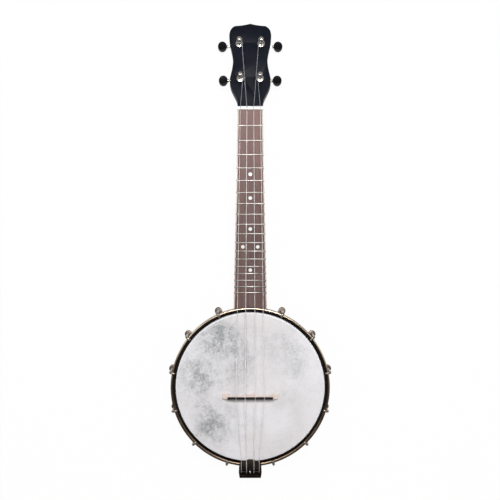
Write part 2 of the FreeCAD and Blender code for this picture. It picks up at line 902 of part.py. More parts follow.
def make_knob():
    """Flat oval knob with bevelled faces and a collar on the headstock's side."""
    long = knob_length / 2
    tall = knob_height / 2
    flat = knob_thickness / 2
    oval = prism(rectangle(long, tall, knob_corner), "xy", -flat, flat)
    for plane, reach in (("xz", long), ("yz", tall)):
        oval = oval.common(prism(rectangle(reach, flat, -knob_bevel), plane, -knob_height, knob_height))
    oval.translate(Vector(knob_reach, shaft_offset, shaft_level))
    near = knob_reach - long - knob_collar_length
    knob = oval.fuse(rod(knob_collar / 2, *worm_shaft_line(near, knob_reach)))
    return knob.cut(rod(shaft_diameter / 2 + inlay_gap, *worm_shaft_line(0, knob_reach + long - knob_wall)))


def rectangle(a, b, size):
    """Corners of a rectangle of half sides a and b, each rounded or bevelled by the size."""
    return [(-a, -b, size), (a, -b, size), (a, b, size), (-a, b, size)]


def at_tuner(shape, along, across):
    copy = shape.copy()
    if across < 0:
        copy = mirrored(copy)
    copy.translate(Vector(across, along, 0))
    return on_headstock(copy)


# Bridge

def make_bridge_wood():
    """Three-footed bridge with two arches, thinner towards the top."""
    foot = bridge_foot_span / 2
    top = bridge_top_span / 2
    low = head_height
    shelf = head_height + bridge_height - bridge_cap_height
    outer = foot - bridge_end_foot
    inner = bridge_centre_foot / 2
    arch = low + bridge_arch_height
    bend = bridge_arch_round
    waist = top + bridge_waist_reach
    right = [
        (inner, low, 0), (inner + bridge_arch_lean / 2, arch, bend), (outer - bridge_arch_lean, arch, bend),
        (outer, low, 0), (foot, low, 0), (foot, low + bridge_toe_height, bridge_toe_round),
        (waist, low + bridge_waist_height, bridge_waist_round), (top, shelf, 0),
    ]
    left = [(-x, z, size) for x, z, size in reversed(right)]
    thick = bridge_foot_thickness
    face = prism(right + left, "xz", bridge_place - thick, bridge_place + thick)
    base = thick / 2
    crest = bridge_top_thickness / 2
    heel = low + bridge_heel_height
    taper = prism([
        (bridge_place - base, low, 0), (bridge_place + base, low, 0),
        (bridge_place + base, heel, bridge_heel_round), (bridge_place + crest, shelf, 0),
        (bridge_place - crest, shelf, 0), (bridge_place - base, heel, bridge_heel_round),
    ], "yz", -foot, foot)
    return face.common(taper)


def make_bridge_cap(cord_slots):
    crest = bridge_top_thickness / 2
    low = head_height + bridge_height - bridge_cap_height
    high = head_height + bridge_height + bridge_notch_depth
    top = bridge_top_span / 2
    cap = prism([
        (bridge_place - crest, low, 0), (bridge_place + crest, low, 0),
        (bridge_place + crest, high, bridge_cap_round), (bridge_place - crest, high, bridge_cap_round),
    ], "yz", -top, top)
    return cut_for_strings(cap, cord_slots)


# Tailpiece

def make_tailpiece_plate():
    """Plate over the hoop: arched front edge, turned-down sides and rear, and a window for the strings."""
    half = plate_width / 2
    low = plate_high - plate_skirt
    shoulder = plate_front - plate_shoulder_drop
    right = [
        (half - plate_shoulder_inset, shoulder, plate_corner), (half, bar_place, plate_side_round),
        (half - plate_rear_inset, plate_rear, plate_corner),
    ]
    left = [(-x, y, size) for x, y, size in reversed(right)]
    nose = [(0, plate_front + plate_nose, plate_nose_round)]
    plan = outline(nose + right + left, "xy", low - cut_over)
    tall = Vector(0, 0, plate_skirt + 2 * cut_over)
    cheek = -hoop_outer - hoop_plate_room
    side = prism([
        (plate_front + cut_over, plate_low, 0), (plate_front + cut_over, plate_high, 0),
        (plate_rear, plate_high, plate_bend), (plate_rear, low, 0),
        (plate_rear + plate_thinning, low, plate_corner),
        (cheek, plate_low - plate_cheek_drop, plate_corner), (cheek, plate_low, 0),
    ], "yz", -half - cut_over, half + cut_over)
    inside_rear = plate_rear + plate_thickness
    room = prism([
        (cheek + cut_over, low - cut_over, 0), (cheek + cut_over, plate_low, 0),
        (inside_rear, plate_low, plate_bend - plate_thickness), (inside_rear, low - cut_over, 0),
    ], "yz", -half - cut_over, half + cut_over)
    hollow = plan.makeOffset2D(-plate_thickness).extrude(tall).common(room)
    body = plan.extrude(tall).common(side).cut(hollow)
    wide = window_width / 2
    body = body.cut(prism([
        (-wide, window_rear, plate_corner), (wide, window_rear, plate_corner),
        (wide, window_front, plate_corner), (-wide, window_front, plate_corner),
    ], "xy", plate_low - 1, plate_high + 1))
    return body.cut(rod(bar_diameter / 2 + seat_gap, (-half - cut_over, bar_place, bar_height),
                        (half + cut_over, bar_place, bar_height)))


def make_tailpiece_bar():
    half = plate_width / 2 - bar_end_inset
    return rod(bar_diameter / 2, (-half, bar_place, bar_height), (half, bar_place, bar_height))


def tail_hook_line():
    return bar_place - bar_diameter / 2 - seat_gap - tail_hook_wire / 2


def make_tailpiece_hook():
    """Hook bolt: its crook goes over the cross bar, its shank down through the bracket."""
    reach = bar_place - tail_hook_line()
    low = bracket_arm_height - bracket_thickness - tail_hook_nut_height - tail_hook_end_length
    high = bar_height + reach
    return bent_wire([
        (tail_hook_line(), low, 0), (tail_hook_line(), high, reach), (bar_place + reach, high, reach),
        (bar_place + reach, bar_height - tail_hook_tip, 0),
    ], tail_hook_wire / 2, "yz")


def make_tailpiece_nut():
    high = bracket_arm_height - bracket_thickness
    nut = hexagon(tail_hook_nut_flats, high - tail_hook_nut_height, high)
    nut = nut.cut(rod(tail_hook_wire / 2 + running_gap, (0, 0, 0), (0, 0, head_height)))
    nut.translate(Vector(0, tail_hook_line(), 0))
    return nut


def make_tailpiece_bracket():
    face = -rim_outer - seat_gap
    t = bracket_thickness
    high = bracket_arm_height
    end = plate_rear + plate_thickness
    line = tail_hook_line()
    strip = prism([
        (face, bracket_foot_height, 0), (face, high, t + bracket_bend), (end, high, 0), (end, high - t, 0),
        (face - t, high - t, bracket_bend), (face - t, bracket_foot_height, 0),
    ], "yz", -bracket_width / 2, bracket_width / 2)
    strip = strip.cut(rod(tail_hook_wire / 2 + bolt_hole_gap, (0, line, 0), (0, line, head_height)))
    return strip.cut(rod(rod_bolt / 2 + bolt_hole_gap, (0, face - cut_over, rod_height),
                         (0, face + cut_over, rod_height)))


# Coordinator rod

def rod_washer_seat():
    return sqrt(rim_inner ** 2 - (rod_washer / 2) ** 2) - seat_gap


def make_rod_washer(side):
    seat = side * rod_washer_seat()
    inner = side * (rod_washer_seat() - rod_washer_thickness)
    return tube(rod_washer / 2, rod_bolt / 2 + bolt_hole_gap, (0, inner, rod_height), (0, seat, rod_height))


def lying_hexagon(flats, start, end):
    nut = hexagon(flats, 0, end - start)
    nut.rotate(Vector(0, 0, 0), Vector(1, 0, 0), -90)
    nut.translate(Vector(0, start, rod_height))
    return nut


def make_rod_nut(side):
    near = rod_washer_seat() - rod_washer_thickness
    ends = sorted((side * near, side * (near - rod_nut_height)))
    nut = lying_hexagon(rod_nut_flats, *ends)
    return nut.cut(rod(rod_bolt / 2 + seat_gap, (0, ends[0] - 1, rod_height), (0, ends[1] + 1, rod_height)))


def rod_end():
    return rod_washer_seat() - rod_end_gap


def make_coordinator_rod():
    """Rod across the pot, bored at both ends and flattened there for a spanner."""
    end = rod_end()
    body = rod(rod_diameter / 2, (0, -end, rod_height), (0, end, rod_height))
    for side in (-1, 1):
        bore = rod(rod_bolt / 2 + seat_gap, (0, side * (end - rod_bore_depth), rod_height),
                   (0, side * (end + 1), rod_height))
        body = body.cut(bore)
        middle = side * (end - rod_flat_place)
        start = middle - rod_flat_length / 2
        end_of_flat = middle + rod_flat_length / 2
        for wall in (-1, 1):
            near = wall * rod_flat_width / 2
            x = sorted((near, near + wall * rod_diameter))
            body = body.cut(box((x[0], start, 0), (x[1], end_of_flat, head_height)))
    return body


def make_neck_hanger_bolt():
    inner = rod_end() - rod_bore_depth + rod_bolt_room
    return rod(rod_bolt / 2, (0, inner, rod_height), (0, rim_outer + heel_bolt_depth, rod_height))


def make_tail_bolt():
    face = -rim_outer - seat_gap - bracket_thickness
    inner = -(rod_end() - rod_bore_depth + rod_bolt_room)
    shank = rod(rod_bolt / 2, (0, face, rod_height), (0, inner, rod_height))
    head = lying_hexagon(rod_nut_flats, face - tail_bolt_head, face)
    return shank.fuse(head).removeSplitter()


# Strings

def tangent_height(x, y, centre_x, centre_y, radius, side):
    """Angle of the line from (x, y) that touches a circle on the given side."""
    distance = hypot(centre_x - x, centre_y - y)
    return atan2(centre_y - y, centre_x - x) + side * asin(radius / distance)


def tail_points(x, radius):
    """From the loop under the cross bar, round its back and over the plate: points and bends."""
    wrap = bar_diameter / 2 + bar_string_gap + radius
    over = plate_high + radius + plate_string_gap
    edge = window_front - window_edge_inset
    slope = tangent_height(edge, over, bar_place, bar_height, wrap, -1)
    drop = tan(slope)
    back = bar_place - wrap
    return [
        (Vector(x, window_front + string_end_reach, bar_height - wrap), 0),
        (Vector(x, back, bar_height - wrap), wrap),
        (Vector(x, back, over + (back - edge) * drop), wrap),
        (Vector(x, edge, over), edge_bend),
        (Vector(x, plate_front - string_lead, over), plate_rise_bend),
    ]


def winding(along, across, radius, start):
    """Turns of string round a post, in the headstock's frame: their edges and least gap to each other."""
    side = -1 if across > 0 else 1
    around = post_diameter / 2 + post_string_gap + radius
    pitch = 2 * radius + winding_gap
    rise = pitch / (2 * pi)
    # the string comes up the headstock and touches the post on its inner side
    direction = Vector(across - start.x, along - start.y, 0)
    distance = direction.Length
    swing = asin(around / distance)
    bearing = atan2(direction.y, direction.x) - side * swing
    touch = Vector(start.x, start.y, 0) + Vector(cos(bearing), sin(bearing), 0) * (distance * cos(swing))
    phase = atan2(touch.y - along, touch.x - across)

    def place(turned_by):
        angle = phase + side * turned_by
        level = winding_rise + rise * turned_by
        return Vector(across + around * cos(angle), along + around * sin(angle), level)

    def heading(turned_by):
        angle = phase + side * turned_by
        return Vector(-side * sin(angle) * around, side * cos(angle) * around, rise).normalize()

    edges = []
    for half_turn in range(2 * winding_turns):
        a = pi * half_turn
        b = a + pi
        edges.extend(biarc(place(a), heading(a), place(b), heading(b)))
    full = 2 * pi * winding_turns
    edges.append(Part.makeLine(place(full), place(full) + heading(full) * string_tail))
    samples = [place(2 * pi * n / 24) for n in range(24 * winding_turns)]
    least = min(p.distanceToPoint(q) for n, p in enumerate(samples) for q in samples[n + 12:])
    return edges, place(0), heading(0), least - 2 * radius


def biarc(start, start_way, end, end_way):
    """Two arcs that join two points and are tangent to the given directions at them."""
    across = end - start
    ways = start_way + end_way
    a = 2 * (1 - start_way.dot(end_way))
    b = 2 * across.dot(ways)
    c = -across.dot(across)
    reach = (-b + sqrt(b * b - 4 * a * c)) / (2 * a) if a > 1e-12 else -c / b
    first = start + start_way * reach
    second = end - end_way * reach
    joint = (first + second) * 0.5
    return [arc_from(start, start_way, joint), arc_from(joint, (second - first).normalize(), end)]


def arc_from(start, way, end):
    chord = end - start
    side = chord - way * chord.dot(way)
    if side.Length < 1e-9:
        return Part.makeLine(start, end)
    side.normalize()
    radius = chord.dot(chord) / (2 * chord.dot(side))
    centre = start + side * radius
    towards = ((start - centre) + (end - centre)).normalize()
    return Part.Arc(start, centre + towards * radius, end).toShape()


def swept(path, radius, start, heading):
    """Cord of six flats along a path."""
    side = heading.cross(Vector(0, 0, 1)).normalize()
    up = side.cross(heading)
    corners = [start + (side * cos(pi / 3 * n) + up * sin(pi / 3 * n)) * radius for n in range(6)]
    return path.makePipeShell([Part.makePolygon(corners + corners[:1])], True, False)


def make_cord(name, diameter, at_nut, at_bridge, at_tail, place):
    """One string from the cross bar over the bridge and nut to its turns on the post."""
    radius = diameter / 2
    along, across = place
    route = tail_points(at_tail, radius)
    saddle = Vector(at_bridge, bridge_place, head_height + bridge_height + radius)
    nut_top = neck_point(at_nut, nut_front + string_seat, board_top + nut_rise + radius)
    route.extend([(saddle, saddle_bend), (nut_top, nut_bend)])
    turns, touch, way, least = winding(along, across, radius, headstock_inverse(nut_top))
    # the last bend turns the straight run into the slope of the first turn
    straight = touch - way * string_lead
    route.append((headstock_point(*straight), post_bend))
    route.append((headstock_point(*touch), 0))
    run = rounded_path([point for point, _ in route], [bend for _, bend in route])
    path = Part.Wire(run.OrderedEdges + [on_headstock(edge) for edge in turns])
    start = route[0][0]
    heading = (route[1][0] - start).normalize()
    slots = [swept(run, radius + cord_slot_gap, start, heading)]
    half = radius + cord_slot_gap + slot_lean
    for point in (saddle, nut_top):
        slots.append(box((point.x - half, point.y - cut_over, point.z),
                         (point.x + half, point.y + cut_over, point.z + cut_over)))
    print(name, "length", round(path.Length, 1), "gap between turns", round(least, 2))
    return swept(path, radius, start, heading), slots


def headstock_inverse(point):
    """From the pot's frame to the headstock's own."""
    vertex = Part.Vertex(point)
    vertex.rotate(Vector(0, board_pivot, board_top), Vector(1, 0, 0), neck_pitch)
    vertex.translate(Vector(0, -nut_back, -face_height))
    vertex.rotate(Vector(0, 0, 0), Vector(1, 0, 0), headstock_tilt)
    return vertex.Point


def string_places():
    upper = upper_post_place
    lower = lower_post_place
    return ((lower[0], -lower[1]), (upper[0], -upper[1]), (upper[0], upper[1]), (lower[0], lower[1]))


def main():
    parts = {}
    parts["rim"] = make_rim()
    parts["tone_ring"] = make_tone_ring()
    parts["head_skin"] = make_head_skin()
    parts["flesh_hoop"] = make_flesh_hoop()
    parts["tension_hoop"] = make_tension_hoop()

    angles = hook_angles()
    for name, make in (("tension_hooks", make_hook), ("bracket_shoes", make_shoe),
                       ("shoe_bolts", make_shoe_bolt)):
        one = make()
        parts[name] = Part.makeCompound([turned(one, angle) for angle in angles])
    nut = make_hook_nut()
    for number, angle in enumerate(angles, 1):
        parts["hook_nut_%02d" % number] = turned(nut, angle)

    cord_slots = []
    for (name, diameter, at_nut, at_bridge, at_tail), place in zip(strings, string_places()):
        parts[name], slots = make_cord(name, diameter, at_nut, at_bridge, at_tail, place)
        cord_slots.extend(slots)

    frets, fret_slots = fret_parts()
    parts["neck"] = make_neck()
    parts["headstock_veneer"] = make_headstock_veneer()
    parts["fretboard"] = make_fretboard(fret_slots)
    parts["fretboard_binding"] = make_binding()
    parts["frets"] = on_neck(Part.makeCompound(frets))
    parts["fret_markers"] = on_neck(Part.makeCompound([face_marker(x, y, 0) for x, y in marker_spots()]))
    parts["side_markers"] = on_neck(Part.makeCompound([side_marker(y, 0) for y in side_marker_spots()]))
    parts["string_nut"] = make_string_nut(cord_slots)

    parts["neck_hanger_bolt"] = make_neck_hanger_bolt()
    parts["coordinator_rod"] = make_coordinator_rod()
    parts["rod_nuts"] = Part.makeCompound([make_rod_nut(side) for side in (-1, 1)])
    parts["rod_washers"] = Part.makeCompound([make_rod_washer(side) for side in (-1, 1)])
    parts["tail_bolt"] = make_tail_bolt()

    parts["tailpiece_plate"] = make_tailpiece_plate()
    parts["tailpiece_bar"] = make_tailpiece_bar()
    parts["tailpiece_hook"] = make_tailpiece_hook()
    parts["tailpiece_nut"] = make_tailpiece_nut()
    parts["tailpiece_bracket"] = make_tailpiece_bracket()
    parts["bridge_body"] = make_bridge_wood()
    parts["bridge_cap"] = make_bridge_cap(cord_slots)

    places = tuner_places()
    for name, make in (("tuner_housings", make_housing), ("tuner_screws", make_tuner_screw),
                       ("tuner_bushings", make_bushing), ("tuner_washers", make_tuner_washer)):
        one = make()
        parts[name] = Part.makeCompound([at_tuner(one, along, across) for _, along, across in places])
    for name, make in (("string_post", make_post), ("worm_shaft", make_worm_shaft),
                       ("tuner_knob", make_knob)):
        one = make()
        for where, along, across in places:
            parts[name + "_" + where] = at_tuner(one, along, across)
    save(parts)
    report_axes()


def middle_of_length():
    """Middle of the instrument's length, from the headstock's tip to the tailpiece's rear edge."""
    tip = max(headstock_point(0, headstock_length, level).y for level in (0, -headstock_thickness))
    return (tip + plate_rear) / 2


def save(parts):
    os.makedirs("parts", exist_ok=True)
    shift = Vector(0, -middle_of_length(), 0)
    for name, shape in parts.items():
        copy = shape.copy()
        copy.translate(shift)
        copy.exportStep("parts/" + name + ".step")


def report_axes():
    """Print the moving pieces' axes in the saved frame."""
    shift = Vector(0, -middle_of_length(), 0)
    for where, along, across in tuner_places():
        side = 1 if across > 0 else -1
        post = headstock_point(across, along, 0) + shift
        up = (headstock_point(across, along, 1) + shift - post).normalize()
        shaft = headstock_point(across, along + shaft_offset, shaft_level) + shift
        print("axis post", where, *post, *up)
        print("axis knob", where, *shaft, side, 0, 0)
    for number, angle in enumerate(hook_angles(), 1):
        place = turned(Part.Vertex(shank_place, 0, hook_nut_low), angle).Point + shift
        print("axis nut", number, *place, 0, 0, 1)


main()
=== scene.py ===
import math

import bmesh
import bpy
from mathutils import Matrix, Vector


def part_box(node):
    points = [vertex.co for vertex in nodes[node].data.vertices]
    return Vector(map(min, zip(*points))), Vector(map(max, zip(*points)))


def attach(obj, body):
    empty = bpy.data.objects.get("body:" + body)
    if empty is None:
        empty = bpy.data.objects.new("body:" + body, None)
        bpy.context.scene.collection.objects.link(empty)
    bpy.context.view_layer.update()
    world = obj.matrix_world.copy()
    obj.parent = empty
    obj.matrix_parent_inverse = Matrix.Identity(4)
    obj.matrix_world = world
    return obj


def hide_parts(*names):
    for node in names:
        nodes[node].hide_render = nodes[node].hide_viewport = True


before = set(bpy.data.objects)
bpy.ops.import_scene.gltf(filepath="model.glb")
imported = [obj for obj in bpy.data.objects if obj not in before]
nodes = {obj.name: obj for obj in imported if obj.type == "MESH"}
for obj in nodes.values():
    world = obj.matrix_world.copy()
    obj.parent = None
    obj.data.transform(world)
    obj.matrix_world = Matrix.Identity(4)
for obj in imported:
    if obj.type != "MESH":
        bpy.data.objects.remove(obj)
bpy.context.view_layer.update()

turn = 2 * math.pi


# where things are: millimetres round the pot's axis, the neck as it was before it was pitched,
# and the headstock's own face
pot = {"headRadius": 101.6, "headHeight": 60.0, "hoopInner": 104.4, "hoopOuter": 108.2, "hoopTop": 61.5,
       "hoopLow": 46.5, "fleshTop": 50.9, "rimInner": 89.15, "shankPlace": 110.35, "shoeTop": 29.5,
       "armLow": 23.5, "nutLow": 15.0, "rodHeight": 32.0}
neck = {"boardTop": 63.0, "pivot": 105.0, "pitch": 2.2, "nutFront": 377.0, "nutBack": 381.7, "scale": 384.0,
        "widthNut": 34.0, "widthEnd": 45.0, "boardEnd": 108.8, "tilt": 11.0, "faceDrop": 0.5}

hoopLow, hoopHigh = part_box("tension_hoop")
potMiddle = (hoopLow.y + hoopHigh.y) / 2
potPlace = Matrix.Translation((0, potMiddle, 0)) @ Matrix.Scale(0.001, 4)
pivot = Vector((0, neck["pivot"], neck["boardTop"]))
neckPlace = (potPlace @ Matrix.Translation(pivot) @ Matrix.Rotation(-math.radians(neck["pitch"]), 4, "X")
             @ Matrix.Translation(-pivot))
headPlace = (neckPlace @ Matrix.Translation((0, neck["nutBack"], neck["boardTop"] - neck["faceDrop"]))
             @ Matrix.Rotation(-math.radians(neck["tilt"]), 4, "X"))


def boardWidthAt(y):
    share = (neck["nutFront"] - y) / (neck["nutFront"] - neck["boardEnd"])
    return neck["widthNut"] + (neck["widthEnd"] - neck["widthNut"]) * share


# node trees

class Value:
    def __init__(self, net, socket):
        self.net = net
        self.socket = socket

    def __add__(self, other):
        return self.net.maths("ADD", self, other)

    def __radd__(self, other):
        return self.net.maths("ADD", other, self)

    def __sub__(self, other):
        return self.net.maths("SUBTRACT", self, other)

    def __rsub__(self, other):
        return self.net.maths("SUBTRACT", other, self)

    def __mul__(self, other):
        return self.net.maths("MULTIPLY", self, other)

    def __rmul__(self, other):
        return self.net.maths("MULTIPLY", other, self)

    def __truediv__(self, other):
        return self.net.maths("DIVIDE", self, other)

    def __rtruediv__(self, other):
        return self.net.maths("DIVIDE", other, self)

    def __rpow__(self, other):
        return self.net.maths("POWER", other, self)


class Step:
    def __init__(self, net, node):
        self.net = net
        self.node = node

    def __getitem__(self, name):
        return Value(self.net, self.node.outputs[name])

    def feed(self, values):
        for name, value in values.items():
            socket = self.node.inputs[name]
            if isinstance(value, Value):
                self.net.tree.links.new(value.socket, socket)
            else:
                socket.default_value = value
        return self


class Net:
    def __init__(self, tree):
        self.tree = tree

    def node(self, kind, settings=None, values=None):
        made = self.tree.nodes.new(kind)
        for name, setting in (settings or {}).items():
            if name == "stops":
                ramp = made.color_ramp
                while len(ramp.elements) < len(setting):
                    ramp.elements.new(0.5)
                for element, (place, colour) in zip(ramp.elements, setting):
                    element.position = place
                    element.color = colour
            else:
                setattr(made, name, setting)
        return Step(self, made).feed(values or {})

    def maths(self, operation, first, second=0.0):
        return self.node("ShaderNodeMath", {"operation": operation}, {0: first, 1: second})["Value"]

    def mixed(self, share, first, second):
        step = self.node("ShaderNodeMix", {"data_type": "RGBA"}, {0: share, 6: first, 7: second})
        return step[2]

    def scaled(self, vector, size, shift=(0, 0, 0)):
        step = self.node("ShaderNodeMapping", {}, {"Vector": vector, "Scale": size, "Location": shift})
        return step["Vector"]

    def noise(self, vector, scale, detail=3.0, rough=0.5, twist=0.0):
        step = self.node("ShaderNodeTexNoise", {}, {"Vector": vector, "Scale": scale, "Detail": detail,
                                                    "Roughness": rough, "Distortion": twist})
        return step["Fac"]

    def between(self, value, low, high, start=0.0, end=1.0, smooth=True):
        step = self.node("ShaderNodeMapRange", {"interpolation_type": "SMOOTHSTEP" if smooth else "LINEAR"},
                         {"Value": value, "From Min": low, "From Max": high, "To Min": start, "To Max": end})
        return step["Result"]

    def bump(self, height, strength, distance):
        step = self.node("ShaderNodeBump", {}, {"Height": height, "Strength": strength, "Distance": distance})
        return step["Normal"]


def tint(red, green, blue):
    # screen colour in 0-255 to the shader's linear colour
    def linear(level):
        level /= 255
        return level / 12.92 if level <= 0.04045 else ((level + 0.055) / 1.055) ** 2.4
    return (linear(red), linear(green), linear(blue), 1.0)


def startLook(name, fixed):
    material = bpy.data.materials.new(name)
    material.use_nodes = True
    material.node_tree.nodes.clear()
    net = Net(material.node_tree)
    shader = net.node("ShaderNodeBsdfPrincipled", {}, fixed)
    net.node("ShaderNodeOutputMaterial", {}, {"Surface": shader["BSDF"]})
    where = net.node("ShaderNodeTexCoord")["Object"]
    return material, net, shader, where


def turnedRound(net, where):
    # the pot's own coordinates: across, along, height and distance from the axis, in metres
    centred = net.scaled(where, (1, 1, 1), shift=(0, -potMiddle, 0))
    parts = net.node("ShaderNodeSeparateXYZ", {}, {"Vector": centred})
    flat = net.node("ShaderNodeVectorMath", {"operation": "MULTIPLY"}, {0: centred, 1: (1, 1, 0)})
    reach = net.node("ShaderNodeVectorMath", {"operation": "LENGTH"}, {0: flat["Vector"]})
    return centred, parts["X"], parts["Y"], parts["Z"], reach["Value"]


print("materials")

skinLook = {"pale": tint(230, 228, 230), "warm": tint(220, 216, 216), "stain": tint(126, 129, 131),
            "smudge": tint(200, 200, 202), "edge": tint(246, 246, 248),
            # the crown's painted highlight ring, metres from the axis
            "edgeFrom": 0.0992, "edgeTo": 0.1006, "push": 0.036,
            # cloudy stains: across, along, size and strength, mm from the middle of the head
            "stains": ((-52, 71, 25, 0.8), (-36, 62, 20, 0.6), (-26, 74, 15, 0.35), (-77, 18, 22, 0.95),
                       (-64, 4, 18, 0.4), (-58, -44, 20, 0.9), (-47, -60, 18, 0.7), (-36, -40, 22, 0.3),
                       (-9, 38, 17, 0.6), (-22, 14, 18, 0.45), (-14, 60, 14, 0.25), (50, 56, 17, 0.45),
                       (57, 22, 13, 0.5), (33, 64, 14, 0.3), (40, -18, 14, 0.3), (64, 44, 15, 0.3))}


def makeSkinLook():
    material, net, shader, where = startLook("mottledSkin", {"Specular IOR Level": 0.35})
    centred, across, along, height, reach = turnedRound(net, where)
    # noise pushes the clouds' outlines about; its middle value is a half, which is taken off again below
    push = skinLook["push"]
    wander = net.node("ShaderNodeTexNoise", {}, {"Vector": centred, "Scale": 34.0, "Detail": 3.0})["Color"]
    pushed = net.node("ShaderNodeVectorMath", {"operation": "MULTIPLY_ADD"},
                      {0: wander, 1: (push, push, 0), 2: centred})["Vector"]
    cloud = 0.0
    for x, y, size, strength in skinLook["stains"]:
        away = net.node("ShaderNodeVectorMath", {"operation": "DISTANCE"},
                        {0: pushed, 1: (x / 1000 + push / 2, y / 1000 + push / 2, 0)})["Value"]
        flatAway = (away * away - height * height) * (1e6 / size ** 2)
        cloud = cloud + strength / (1 + flatAway * flatAway)
    # the stain lies in small flecks inside its clouds, with a faint wash of them all over
    fleck = net.between(net.noise(centred, 360, 8, 0.78, 0.3), 0.38, 0.64)
    blotch = net.between(net.noise(centred, 95, 6, 0.7), 0.36, 0.64)
    speck = net.noise(centred, 900, 4, 0.75)
    wash = net.between(net.noise(centred, 30, 5, 0.65), 0.34, 0.72)
    stained = cloud * (0.12 + 0.26 * blotch + 0.26 * fleck + 0.22 * blotch * fleck) * (0.65 + 0.6 * speck)
    stained = net.maths("MINIMUM", stained + 0.06 * wash * fleck + 0.10 * (speck - 0.45), 0.85)
    tone = net.between(net.noise(centred, 14, 2, 0.5), 0.35, 0.7)
    base = net.mixed(tone, skinLook["pale"], skinLook["warm"])
    base = net.mixed(0.4 * wash * blotch + 0.16 * fleck, base, skinLook["smudge"])
    colour = net.mixed(stained, base, skinLook["stain"])
    # painted highlight: a paler ring where the head turns over its crown
    edge = net.between(reach, skinLook["edgeFrom"], skinLook["edgeTo"])
    shader.feed({"Base Color": net.mixed(edge, colour, skinLook["edge"]),
                 "Roughness": 0.42 + 0.16 * fleck,
                 "Normal": net.bump(speck + 0.6 * blotch, 0.14, 0.0006)})
    return material


bronzeLook = {"dark": tint(66, 57, 52), "brown": tint(112, 97, 86), "rubbed": tint(222, 210, 198)}


def makeBronzeLook(name, rubbed, dull, depth=1.0):
    # rubbed is how much pale metal shows through, dull the least roughness, depth darkens the plating
    material, net, shader, where = startLook(name, {"Metallic": 1.0})
    patches = net.between(net.noise(where, 90, 5, 0.6, 0.4), 0.32, 0.68)
    spots = net.between(net.noise(where, 900, 3, 0.6), 0.45, 0.72)
    dark, brown = [tuple(level * depth for level in bronzeLook[shade][:3]) + (1.0,)
                   for shade in ("dark", "brown")]
    colour = net.mixed(patches, dark, brown)
    colour = net.mixed(spots * 0.3 * rubbed + rubbed * 0.25, colour, bronzeLook["rubbed"])
    scratches = net.noise(net.scaled(where, (900, 900, 2600)), 1.0, 3, 0.6)
    shader.feed({"Base Color": colour, "Roughness": dull + 0.14 * (1 - patches) + 0.08 * spots,
                 "Normal": net.bump(scratches, 0.08, 0.0001)})
    return material


hoopLook = {"dark": tint(88, 73, 60), "brown": tint(142, 122, 102), "worn": tint(232, 216, 194),
            "inner": tint(34, 27, 23)}


def makeHoopLook():
    material, net, shader, where = startLook("hoopBronze", {"Metallic": 1.0})
    centred, across, along, height, reach = turnedRound(net, where)
    streaks = net.noise(net.scaled(centred, (120, 120, 900)), 1.0, 4, 0.6)
    patches = net.between(net.noise(centred, 60, 4, 0.6), 0.3, 0.7)
    colour = net.mixed(patches * 0.6 + streaks * 0.2, hoopLook["dark"], hoopLook["brown"])
    # pale on the outer shoulder on the side towards the neck: partly metal rubbed where hands reach it, partly
    # a painted highlight where the lamp's reflection falls
    shoulder = net.between(reach, 0.1064, 0.1076) * net.between(height, 0.0570, 0.0600)
    worn = shoulder * net.between(along, -0.04, 0.08) * (0.35 + 0.5 * net.noise(centred, 45, 3, 0.6))
    # painted shade on the inner half of the top, deepest near the neck
    inner = net.between(reach, 0.1066, 0.1056) * net.between(along, -0.09, 0.03, 0.25, 0.9)
    colour = net.mixed(inner, colour, hoopLook["inner"])
    shader.feed({"Base Color": net.mixed(worn, colour, hoopLook["worn"]), "Roughness": 0.3 - 0.08 * worn,
                 "Normal": net.bump(streaks, 0.06, 0.0001)})
    return material


lacquerLook = {"black": tint(10, 12, 18), "blue": tint(20, 25, 37)}


def makeLacquerLook():
    material, net, shader, where = startLook("satinBlackLacquer", {"Specular IOR Level": 0.13})
    grain = net.noise(net.scaled(where, (420, 26, 420)), 1.0, 4, 0.6, 0.3)
    cloud = net.noise(where, 18, 3, 0.5)
    smudge = net.between(net.noise(where, 55, 4, 0.6), 0.4, 0.7)
    shader.feed({"Base Color": net.mixed(0.3 + 0.5 * cloud, lacquerLook["black"], lacquerLook["blue"]),
                 "Roughness": 0.4 + 0.1 * smudge,
                 "Normal": net.bump(grain, 0.05, 0.0002)})
    return material


rimLook = {"maple": tint(206, 170, 126), "band": tint(176, 136, 94), "line": tint(140, 102, 68)}


def makeRimLook():
    material, net, shader, where = startLook("rimPliesAndLacquer", {"Specular IOR Level": 0.4})
    centred, across, along, height, reach = turnedRound(net, where)
    angle = net.maths("ARCTAN2", along, across)
    wrapped = net.node("ShaderNodeCombineXYZ", {},
                       {"X": angle * 1.2, "Y": height * 260, "Z": reach * 900})["Vector"]
    grain = net.noise(wrapped, 5.0, 5, 0.62, 0.5)
    pores = net.between(net.noise(net.scaled(wrapped, (6, 4, 1)), 9.0, 2, 0.5), 0.6, 0.75)
    wood = net.mixed(net.between(grain, 0.34, 0.68), rimLook["maple"], rimLook["band"])
    wood = net.mixed(pores * 0.4, wood, rimLook["line"])
    # bare wood shows on the inner wall only
    wall = pot["rimInner"] / 1000
    outside = net.between(reach, wall + 0.00045, wall + 0.00085, smooth=False)
    black = net.mixed(net.noise(where, 40, 3, 0.5), lacquerLook["black"], lacquerLook["blue"])
    shader.feed({"Base Color": net.mixed(outside, wood, black), "Roughness": 0.52 - 0.12 * outside,
                 "Normal": net.bump(grain, 0.1, 0.0002)})
    return material


boardLook = {"light": tint(112, 89, 84), "brown": tint(84, 64, 60), "streak": tint(72, 50, 48),
             "pore": tint(48, 36, 33), "worn": tint(158, 124, 117)}


